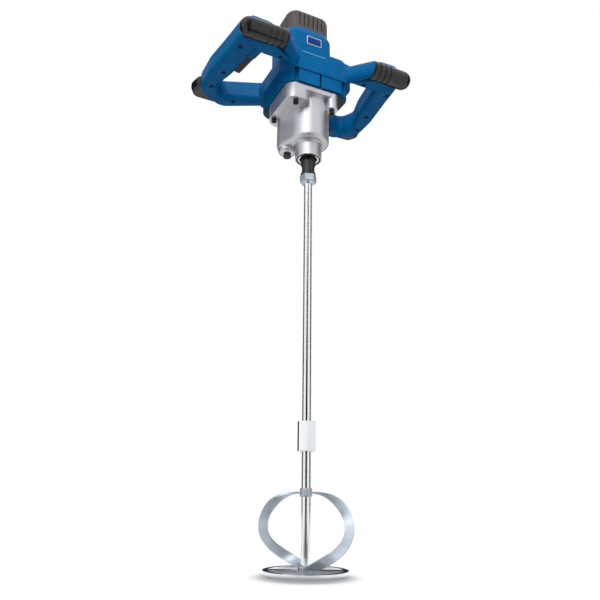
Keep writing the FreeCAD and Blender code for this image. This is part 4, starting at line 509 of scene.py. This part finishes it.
class BarTree:
    """The Geometry Nodes tree that lays small round-ended bars in a row or round a ring."""

    INPUTS = {"Count": "Int", "Length": "Float", "Thickness": "Float", "Flatten": "Vector",
              "Start": "Vector", "Step": "Vector", "Radius": "Float", "Bar Turn": "Rotation",
              "Whole Turn": "Rotation", "Material": "Material"}
    STATIONS = 13
    SIDES = 10
    END_POWER = 8.0
    END_OPENING = 1.001

    @classmethod
    @cache
    def get(cls, layout: Layout) -> bpy.types.NodeTree:
        """The tree for a layout, built the first time it is asked for.

        Args:
            layout: A row or a ring.

        Returns:
            The Geometry Nodes tree.
        """
        tree = bpy.data.node_groups.new(layout.value.replace(" ", "_"), "GeometryNodeTree")
        sockets = tree.interface
        for key, kind in cls.INPUTS.items():
            sockets.new_socket(name=key, in_out="INPUT", socket_type=f"NodeSocket{kind}")
        sockets.new_socket(name="Geometry", in_out="OUTPUT", socket_type="NodeSocketGeometry")
        graph = Graph(tree)
        start = graph.add("NodeGroupInput").outputs
        bar = cls.bar(graph, start)
        if layout is Layout.ROW:
            line = {"Count": start["Count"], "Start Location": start["Start"],
                    "Offset": start["Step"]}
            points = graph.add("GeometryNodeMeshLine", line, mode="OFFSET").outputs[0]
            turn = start["Whole Turn"]
        else:
            ring = {"Vertices": start["Count"], "Radius": start["Radius"]}
            points = graph.add("GeometryNodeMeshCircle", ring).outputs[0]
            turn = cls.turn_with_ring(graph, start["Count"])
        laid = graph.add("GeometryNodeInstanceOnPoints", {
            "Points": points, "Instance": bar, "Rotation": turn,
            "Scale": start["Flatten"]}).outputs[0]
        whole = graph.add("GeometryNodeRealizeInstances", {"Geometry": laid}).outputs[0]
        if layout is Layout.RING:
            whole = graph.add("GeometryNodeTransform", {
                "Geometry": whole, "Translation": start["Start"],
                "Rotation": start["Whole Turn"]}).outputs[0]
        dressed = graph.add("GeometryNodeSetMaterial", {
            "Geometry": whole, "Material": start["Material"]}).outputs[0]
        graph.add("NodeGroupOutput", {0: dressed})
        return tree

    @classmethod
    def bar(cls, graph: Graph, start: bpy.types.NodeOutputs) -> bpy.types.NodeSocket:
        """One bar along X with round ends, turned by Bar Turn.

        Args:
            graph: The tree's graph.
            start: The outputs of the tree's input node.

        Returns:
            The bar's geometry socket.
        """
        ends = []
        for side in (-0.5, 0.5):
            along = graph.math("MULTIPLY", start["Length"], side)
            ends.append(graph.add("ShaderNodeCombineXYZ", {0: along}).outputs[0])
        line = graph.add("GeometryNodeCurvePrimitiveLine", {"Start": ends[0],
                                                            "End": ends[1]}).outputs[0]
        line = graph.add("GeometryNodeResampleCurve", {"Curve": line,
                                                       "Count": cls.STATIONS}).outputs[0]
        share = graph.add("GeometryNodeSplineParameter").outputs["Factor"]
        off_middle = graph.math("SUBTRACT", graph.math("MULTIPLY", share, 2.0), 1.0)
        narrowing = graph.math("POWER", graph.math("ABSOLUTE", off_middle), cls.END_POWER)
        radius = graph.math("POWER", graph.math("SUBTRACT", cls.END_OPENING, narrowing), 0.5)
        line = graph.add("GeometryNodeSetCurveRadius", {"Curve": line,
                                                        "Radius": radius}).outputs[0]
        section = graph.add("GeometryNodeCurvePrimitiveCircle", {
            "Resolution": cls.SIDES, "Radius": start["Thickness"]}).outputs[0]
        mesh = graph.add("GeometryNodeCurveToMesh", {
            "Curve": line, "Profile Curve": section, "Fill Caps": True}).outputs[0]
        mesh = graph.add("GeometryNodeTransform", {"Geometry": mesh,
                                                   "Rotation": start["Bar Turn"]}).outputs[0]
        return graph.add("GeometryNodeSetShadeSmooth", {"Geometry": mesh}).outputs[0]

    @staticmethod
    def turn_with_ring(graph: Graph, count: bpy.types.NodeSocket) -> bpy.types.NodeSocket:
        """The turn about Z that each point of a ring gives its bar.

        Args:
            graph: The tree's graph.
            count: How many points the ring has.

        Returns:
            The rotation's socket.
        """
        step = graph.math("DIVIDE", math.tau, count)
        number = graph.add("GeometryNodeInputIndex").outputs[0]
        angle = graph.math("MULTIPLY", number, step)
        euler = graph.add("ShaderNodeCombineXYZ", {2: angle}).outputs[0]
        return graph.add("FunctionNodeEulerToRotation", {0: euler}).outputs[0]


@dataclass
class BarRun:
    """One run of small bars: its layout, its sizes and its finish."""

    name: str
    layout: Layout
    finish: Finish
    count: int
    length: float
    thickness: float
    start: Triple
    step: Triple = (0.0, 0.0, 0.0)
    radius: float = 0.0
    flatten: Triple = (1.0, 1.0, 1.0)
    bar_turn: Triple = (0.0, 0.0, 0.0)
    whole_turn: Triple = (0.0, 0.0, 0.0)

    def build(self) -> bpy.types.Object:
        """Runs the tree and keeps its result as a plain mesh.

        Returns:
            The run as one piece at the origin.
        """
        tree = BarTree.get(self.layout)
        label = f"{self.name}_maker"
        maker = bpy.data.objects.new(label, bpy.data.meshes.new(label))
        changer = maker.modifiers.new("bars", "NODES")
        changer.node_group = tree
        values = {"Count": self.count, "Length": self.length, "Thickness": self.thickness,
                  "Flatten": self.flatten, "Start": self.start, "Step": self.step,
                  "Radius": self.radius, "Bar Turn": self.bar_turn,
                  "Whole Turn": self.whole_turn, "Material": self.finish.material()}
        for item in tree.interface.items_tree:
            if item.in_out == "INPUT":
                changer[item.identifier] = values[item.name]
        bpy.context.scene.collection.objects.link(maker)
        depsgraph = bpy.context.evaluated_depsgraph_get()
        mesh = bpy.data.meshes.new_from_object(maker.evaluated_get(depsgraph))
        mesh.name = self.name
        maker.modifiers.remove(changer)
        bpy.data.objects.remove(maker)
        return in_scene(self.name, mesh)


class Assembly:
    """A sub-assembly of the drill, which finishes its CAD nodes and adds its own small pieces."""

    def dress(self) -> None:
        """Gives the CAD nodes their finishes."""

    def build(self) -> None:
        """Makes the small pieces, where the sub-assembly has any."""


@dataclass
class Stirrer(Assembly):
    """The plated paddle, its rods and its weld beads."""

    rod_radius: float = 0.006
    bead_offset: float = 0.0006
    bead_length: float = 0.0030
    bead_thickness: float = 0.0012
    bead_count: int = 20
    bead_heights: Triple = (0.0092, 0.0928, 0.1012)
    foot_height: float = 0.02
    foot_reach: float = 0.0118
    foot_half_width: float = 0.0048
    foot_bead_length: float = 0.0034
    foot_bead_thickness: float = 0.0010
    foot_bead_count: int = 7

    def dress(self) -> None:
        """Gives the paddle and rods their plating."""
        paint(BRIGHT_STEEL, "lower_rod", "upper_rod", "coupling_nut", "paddle_ring")
        paint(ZINC_STRIP, "front_blade", "back_blade", "blade_hub", "lock_nut")

    def build(self) -> None:
        """Makes the weld beads round the rod and across the blades' feet."""
        for name, height in zip(("foot", "hub_low", "hub_high"), self.bead_heights):
            ring = BarRun(f"weld_{name}", Layout.RING, WELD_STEEL, self.bead_count,
                          self.bead_length, self.bead_thickness, (0.0, 0.0, height),
                          radius=self.rod_radius + self.bead_offset,
                          bar_turn=(0.0, 0.0, QUARTER_TURN))
            settle(ring.build(), Body.SPINDLE)
        for name in ("front_blade", "back_blade"):
            settle(self.foot_weld(name), Body.SPINDLE)

    def foot_weld(self, blade: str) -> bpy.types.Object:
        """A row of weld beads across the foot of one blade.

        Args:
            blade: The blade's node name.

        Returns:
            The row of beads.
        """
        corners = [v.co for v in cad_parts[blade].data.vertices]
        foot = [p for p in corners if p.z < self.foot_height and p.xy.length < self.foot_reach]
        middle = sum(foot, Vector()) / len(foot)
        across = Vector((-middle.y, middle.x, 0.0)).normalized() * self.foot_half_width
        step = across * 2.0 / (self.foot_bead_count - 1)
        first = middle - across
        row = BarRun(f"weld_{blade}", Layout.ROW, WELD_STEEL, self.foot_bead_count,
                     self.foot_bead_length, self.foot_bead_thickness,
                     (first.x, first.y, max(p.z for p in foot)), step=tuple(step),
                     whole_turn=(0.0, 0.0, math.atan2(middle.y, middle.x)))
        return row.build()


@dataclass
class GearCase(Assembly):
    """The bright casting over the gears, with its nose, screws and spindle."""

    def dress(self) -> None:
        """Gives the casting, its screws and the spindle their finishes."""
        paint(DIE_CAST, "gear_housing")
        paint(BEARING_STEEL, "nose_ring")
        paint(SEAL_PAPER, "gasket", "spindle_seal")
        paint(BLACK_SCREW, "gear_housing_screws", "layshaft_plug")
        paint(DARK_STEEL, "spindle")


@dataclass
class Shell(Assembly):
    """The blue housing with its two loops, grips, pads, seam and bare badge plate."""

    badge_centre: Triple = (0.0040, -0.0105, 0.7922)
    badge_width: float = 0.0262
    badge_height: float = 0.0156
    badge_corner: float = 0.0016
    badge_rim: float = 0.0013
    badge_sunk: float = 0.0002
    badge_proud: float = 0.0007
    field_rise: float = 1.3
    edge_softness: float = 0.35
    edge_bulge: float = 0.3
    corner_steps: int = 6
    seam_length: float = 0.040
    seam_thickness: float = 0.0007
    seam_place: Triple = (-0.0137, -0.0429, 0.7374)

    def dress(self) -> None:
        """Gives shells, rubber and screws their finishes."""
        paint(BLUE_SHELL, "upper_housing", "lower_housing")
        paint(BLACK_RUBBER, "left_horn_grip", "right_horn_grip", "left_corner_pad",
              "right_corner_pad")
        paint(BLACK_SCREW, "handle_screws", "ledge_screws")

    def build(self) -> None:
        """Makes the bare badge plate and the lip of the housing's seam, whose light blue is a
        painted highlight.
        """
        rim = self.plate("badge_rim", 0.0, self.badge_proud, PLATE_RIM)
        settle(rim, Body.HOUSING)
        field = self.plate("badge_field", self.badge_rim, self.badge_proud * self.field_rise,
                           PLATE_BLUE)
        settle(field, Body.HOUSING)
        # The lip's light finish paints a highlight line along the housing's seam.
        lip = BarRun("seam_lip_painted_highlight", Layout.ROW, SEAM_LIP_PAINTED_HIGHLIGHT, 1, self.seam_length, self.seam_thickness,
                     self.seam_place)
        settle(lip.build(), Body.HOUSING)

    def plate(self, name: str, inset: float, proud: float, finish: Finish) -> bpy.types.Object:
        """A rounded plate on the front of the barrel with a softened edge.

        Args:
            name: The plate's name.
            inset: How far its outline is moved in from the badge's.
            proud: How far it stands out of the barrel.
            finish: Its finish.

        Returns:
            The plate.
        """
        centre = Vector(self.badge_centre)
        half_x, half_z = self.badge_width / 2 - inset, self.badge_height / 2 - inset
        corner = self.badge_corner - inset / 2
        outline = []
        for quarter, (side_x, side_z) in enumerate(((1, 1), (-1, 1), (-1, -1), (1, -1))):
            for part in range(self.corner_steps + 1):
                angle = QUARTER_TURN * (quarter + part / self.corner_steps)
                outline.append((side_x * (half_x - corner) + corner * math.cos(angle),
                                side_z * (half_z - corner) + corner * math.sin(angle)))
        soft = proud * self.edge_softness
        bulge = soft * self.edge_bulge
        section = ((0.0, -self.badge_sunk), (0.0, proud - soft), (bulge, proud - bulge),
                   (soft, proud))
        shape = bmesh.new()
        rings = []
        for inwards, out in section:
            scale_x, scale_z = (half_x - inwards) / half_x, (half_z - inwards) / half_z
            rings.append([shape.verts.new(centre + Vector((x * scale_x, -out, z * scale_z)))
                          for x, z in outline])
        for low, high in zip(rings, rings[1:]):
            for i, corner_low in enumerate(low):
                after = (i + 1) % len(low)
                shape.faces.new((corner_low, low[after], high[after], high[i]))
        shape.faces.new(rings[-1])
        shape.faces.new(list(reversed(rings[0])))
        return plain_piece(name, shape, finish)


@dataclass
class Cap(Assembly):
    """The grey motor cap and the dark bars in its grooves, which paint the shade of its air slots.
    """

    half_width: float = 0.037
    centre_y: float = 0.030
    groove_depth: float = 0.0014
    groove_count: int = 6
    spread: float = 0.020
    slot_middle: float = 0.8325
    slot_length: float = 0.0225
    slot_half_width: float = 0.00105
    slot_flatten: Triple = (1.0, 0.16, 1.0)

    def dress(self) -> None:
        """Gives the cap and its screws their finishes."""
        paint(GREY_CAP, "top_cap")
        paint(BLACK_SCREW, "cap_screws")

    def build(self) -> None:
        """Makes the four rows of dark bars at the bottom of the cap's grooves, which paint the
        shade in them.
        """
        face = self.half_width - self.groove_depth
        pitch = 2 * self.spread / (self.groove_count - 1)
        for names, along_x in ((("front", "back"), True), (("left", "right"), False)):
            for name, side in zip(names, (-1, 1)):
                if along_x:
                    start, step = (-self.spread, self.centre_y + side * face), (pitch, 0.0, 0.0)
                else:
                    start, step = (side * face, self.centre_y - self.spread), (0.0, pitch, 0.0)
                # Each row is a painted shade in one side's grooves.
                row = BarRun(f"cap_slots_{name}", Layout.ROW, SLOT_PAINTED_SHADE, self.groove_count,
                             self.slot_length, self.slot_half_width, (*start, self.slot_middle),
                             step=step, flatten=self.slot_flatten,
                             bar_turn=(0.0, QUARTER_TURN, 0.0),
                             whole_turn=(0.0, 0.0, 0.0 if along_x else QUARTER_TURN))
                settle(row.build(), Body.HOUSING)


@dataclass
class Controls(Assembly):
    """Trigger, lock button, speed dial and cord inlet, with the trigger's ribs."""

    trigger_centre: Triple = (-0.110784, 0.011975, 0.734)
    trigger_inward: Triple = (0.98456, 0.17506, 0.0)
    probe_distance: float = 0.08
    rib_count: int = 3
    rib_length: float = 0.036
    rib_pitch: float = 0.0042
    rib_thickness: float = 0.0008
    rib_sunk: float = 0.0003

    def dress(self) -> None:
        """Gives the controls their finishes."""
        paint(BLACK_PLASTIC, "trigger", "lock_button", "speed_dial", "cord_inlet", "switch_module",
              "speed_controller")
        paint(BEARING_STEEL, "trigger_spring", "lock_spring")

    def build(self) -> None:
        """Makes the trigger's ribs."""
        inward = Vector(self.trigger_inward)
        probe = Vector(self.trigger_centre) + inward * self.probe_distance
        face = surface_point("trigger", probe, -inward)
        below = Vector((0.0, 0.0, self.rib_pitch * (self.rib_count - 1) / 2))
        lowest = face - inward * self.rib_sunk - below
        turn = math.atan2(inward.y, inward.x) + QUARTER_TURN
        ribs = BarRun("trigger_ribs", Layout.ROW, BLACK_PLASTIC, self.rib_count, self.rib_length,
                      self.rib_thickness, tuple(lowest), step=(0.0, 0.0, self.rib_pitch),
                      whole_turn=(0.0, 0.0, turn))
        settle(ribs.build(), Body.TRIGGER)


@dataclass
class Drive(Assembly):
    """Motor, gears and bearings inside the housing."""

    def dress(self) -> None:
        """Gives the inner pieces their finishes."""
        paint(GEAR_STEEL, "layshaft", "layshaft_gear", "output_gear", "gear_key",
              "spindle_circlip", "armature_shaft", "gear_plate")
        for place in ("lower_motor", "upper_motor", "lower_spindle", "upper_spindle"):
            paint(BEARING_STEEL, f"{place}_inner_race", f"{place}_outer_race")
        paint(BUSH_BRONZE, "layshaft_lower_bush", "layshaft_upper_bush", "brush_holders")
        paint(COPPER_WIRE, "field_coils", "rotor_windings", "commutator")
        paint(SHEET_STACK, "stator_core", "rotor_core")
        paint(PRESSED_CARBON, "carbon_brushes")
        paint(BLACK_PLASTIC, "fan", "bearing_bridge")


@dataclass(frozen=True)
class Lamp:
    """One soft lamp: its place, its aim, its size, its power, and whether metal shows it."""

    name: str
    place: Triple
    aim: Triple
    size: float
    power: float
    mirrored: bool = True

    def build(self) -> None:
        """Makes the lamp, which shiny faces mirror or not."""
        data = bpy.data.lights.new(self.name, "AREA")
        data.shape, data.size, data.energy = "DISK", self.size, self.power
        lamp = in_scene(self.name, data)
        lamp.location = self.place
        towards = Vector(self.aim) - Vector(self.place)
        lamp.rotation_euler = towards.to_track_quat("-Z", "Y").to_euler()
        lamp.visible_glossy = self.mirrored


@dataclass(frozen=True)
class Card:
    """One dark card that metal mirrors: direction in degrees, distance, size, upright or lying."""

    name: str
    around: float
    distance: float
    width: float
    height: float
    grey: float
    lying: bool = False
    lift: float = 0.0005

    def build(self) -> None:
        """Makes the card, which nothing but a reflection sees."""
        angle = math.radians(self.around)
        away = Vector((math.sin(angle), -math.cos(angle), 0.0))
        middle = away * self.distance + Vector((0.0, 0.0, self.lift))
        across = Vector((math.cos(angle), math.sin(angle), 0.0)) * self.width / 2
        up = -away * self.height if self.lying else Vector((0.0, 0.0, self.height))
        left, right = middle - across, middle + across
        mesh = bpy.data.meshes.new(self.name)
        mesh.from_pydata([left, right, right + up, left + up], [], [(0, 1, 2, 3)])
        material = bpy.data.materials.new(self.name)
        material.use_nodes = True
        shader = material.node_tree.nodes["Principled BSDF"]
        shader.inputs["Base Color"].default_value = (self.grey, self.grey, self.grey, 1.0)
        shader.inputs["Roughness"].default_value = 1.0
        mesh.materials.append(material)
        card = in_scene(self.name, mesh)
        for ray in ("camera", "diffuse", "transmission", "shadow", "volume_scatter"):
            setattr(card, f"visible_{ray}", False)


@dataclass
class Studio:
    """Floor with a painted grey shadow patch under the object, white surround, soft lamps and dark
    cards.
    """

    floor_radius: float = 5.0
    floor_segments: int = 96
    floor_drop: float = 0.0003
    ambient: float = 0.36
    # Grey of the painted shadow patch round the foot; white takes over further out.
    shadow_patch_grey: Triple = (0.46, 0.46, 0.47)
    shadow_middle: Triple = (-0.013, -0.025, 0.0)
    shadow_near: float = 0.042
    shadow_far: float = 0.074
    lamps: tuple[Lamp, ...] = (
        Lamp("key_lamp", (-1.4, -1.8, 1.9), (0.0, 0.0, 0.65), 1.3, 37.0),
        Lamp("fill_lamp", (1.8, -1.3, 1.0), (0.0, 0.0, 0.65), 1.4, 8.0, False),
        Lamp("top_lamp", (0.2, 0.6, 2.4), (0.0, 0.0, 0.7), 1.2, 18.0, False),
        Lamp("low_lamp", (-0.9, -1.5, 0.12), (0.0, 0.0, 0.70), 0.8, 3.0, False),
    )
    cards: tuple[Card, ...] = (
        Card("front_card", -27.0, 1.7, 1.6, 2.6, 0.012),
        Card("floor_card", -27.0, 1.7, 0.7, 1.55, 0.03, True),
        Card("back_card", 153.0, 1.8, 3.0, 2.6, 0.03),
        Card("left_card", -135.0, 1.8, 1.5, 2.6, 0.02),
        Card("right_card", 79.0, 1.8, 1.5, 2.6, 0.03),
    )

    def build(self) -> None:
        """Makes the floor, the surround, the lamps and the cards."""
        self.floor()
        self.surround()
        for light in (*self.lamps, *self.cards):
            light.build()
        bpy.context.scene.view_settings.view_transform = "Standard"

    @staticmethod
    def seen(graph: Graph) -> bpy.types.NodeSocket:
        """Whether the camera, a reflection or glass is looking.

        Args:
            graph: The graph of a floor or world material.

        Returns:
            A socket of 1 for such rays and 0 for others.
        """
        path = graph.add("ShaderNodeLightPath").outputs
        either = graph.math("MAXIMUM", path["Is Camera Ray"], path["Is Glossy Ray"])
        return graph.math("MAXIMUM", either, path["Is Transmission Ray"])

    def floor(self) -> None:
        """The floor disc, white away from the object, with a grey patch under it that paints a soft
        shadow; real shade from the lamps also shows on that patch.
        """
        shape = bmesh.new()
        bmesh.ops.create_circle(shape, cap_ends=True, segments=self.floor_segments,
                                radius=self.floor_radius,
                                matrix=Matrix.Translation((0.0, 0.0, -self.floor_drop)))
        mesh = bpy.data.meshes.new("studio_floor")
        shape.to_mesh(mesh)
        shape.free()
        material = bpy.data.materials.new("studio_floor")
        material.use_nodes = True
        graph = Graph(material.node_tree)
        nodes = material.node_tree.nodes
        nodes.remove(nodes["Principled BSDF"])
        place = graph.add("ShaderNodeTexCoord").outputs["Object"]
        # Painted shadow: the grey floor shows in a soft patch round shadow_middle, set a little to
        # the front, and fades to white further out.
        away = graph.add("ShaderNodeVectorMath", {0: place, 1: self.shadow_middle},
                         operation="DISTANCE").outputs["Value"]
        fade = graph.spread(away, (self.shadow_near, self.shadow_far), (0.0, 1.0), smooth=True)
        share = graph.math("MULTIPLY", self.seen(graph), fade)
        lit = graph.add("ShaderNodeBsdfDiffuse", {"Color": (*self.shadow_patch_grey, 1.0)}).outputs[0]
        white = graph.add("ShaderNodeEmission", {"Color": WHITE, "Strength": 1.0}).outputs[0]
        mixed = graph.add("ShaderNodeMixShader", {0: share, 1: lit, 2: white}).outputs[0]
        graph.put(mixed, nodes["Material Output"].inputs["Surface"])
        mesh.materials.append(material)
        in_scene("studio_floor", mesh)

    def surround(self) -> None:
        """White behind the object and in reflections, and a plain level of light otherwise."""
        world = bpy.data.worlds.new("studio_surround")
        world.use_nodes = True
        bpy.context.scene.world = world
        graph = Graph(world.node_tree)
        nodes = world.node_tree.nodes
        white = nodes["Background"]
        white.inputs["Color"].default_value = WHITE
        soft = graph.add("ShaderNodeBackground", {"Color": WHITE, "Strength": self.ambient})
        mixed = graph.add("ShaderNodeMixShader", {0: self.seen(graph), 1: soft.outputs[0],
                                                  2: white.outputs[0]})
        graph.put(mixed.outputs[0], nodes["World Output"].inputs["Surface"])


@dataclass
class PhotoCamera:
    """The camera at the photograph's place: degrees and metres, lens and sensor in millimetres."""

    around: float = -26.912
    distance: float = 0.832008
    height: float = 0.096594
    tilt: float = 17.401
    yaw: float = 0.711
    roll: float = 0.593
    lens: float = 36.92
    sensor: float = 36.0
    nearest: float = 0.02

    def build(self) -> None:
        """Makes the camera and sets it as the scene's."""
        stand, look = math.radians(self.around), math.radians(self.around + self.yaw)
        tilt, roll = math.radians(self.tilt), math.radians(self.roll)
        up = Vector((0.0, 0.0, 1.0))
        ahead = Vector((-math.sin(look), math.cos(look), 0.0))
        across = Vector((math.cos(look), math.sin(look), 0.0))
        forward = ahead * math.cos(tilt) + up * math.sin(tilt)
        above = up * math.cos(tilt) - ahead * math.sin(tilt)
        right = across * math.cos(roll) + above * math.sin(roll)
        top = above * math.cos(roll) - across * math.sin(roll)
        turned = Matrix((right, top, -forward)).transposed().to_4x4()
        turned.translation = (self.distance * math.sin(stand), -self.distance * math.cos(stand),
                              self.height)
        data = bpy.data.cameras.new("photo_camera")
        data.lens, data.sensor_width, data.clip_start = self.lens, self.sensor, self.nearest
        camera = in_scene("photo_camera", data)
        camera.matrix_world = turned
        bpy.context.scene.camera = camera


def main() -> None:
    """Builds the camera, the stage and every sub-assembly in order."""
    logging.basicConfig(level=logging.INFO, format="%(name)s: %(message)s")
    PhotoCamera().build()
    Studio().build()
    for assembly in (Stirrer(), GearCase(), Shell(), Cap(), Controls(), Drive()):
        assembly.dress()
        assembly.build()


if __name__ == "__main__":
    main()
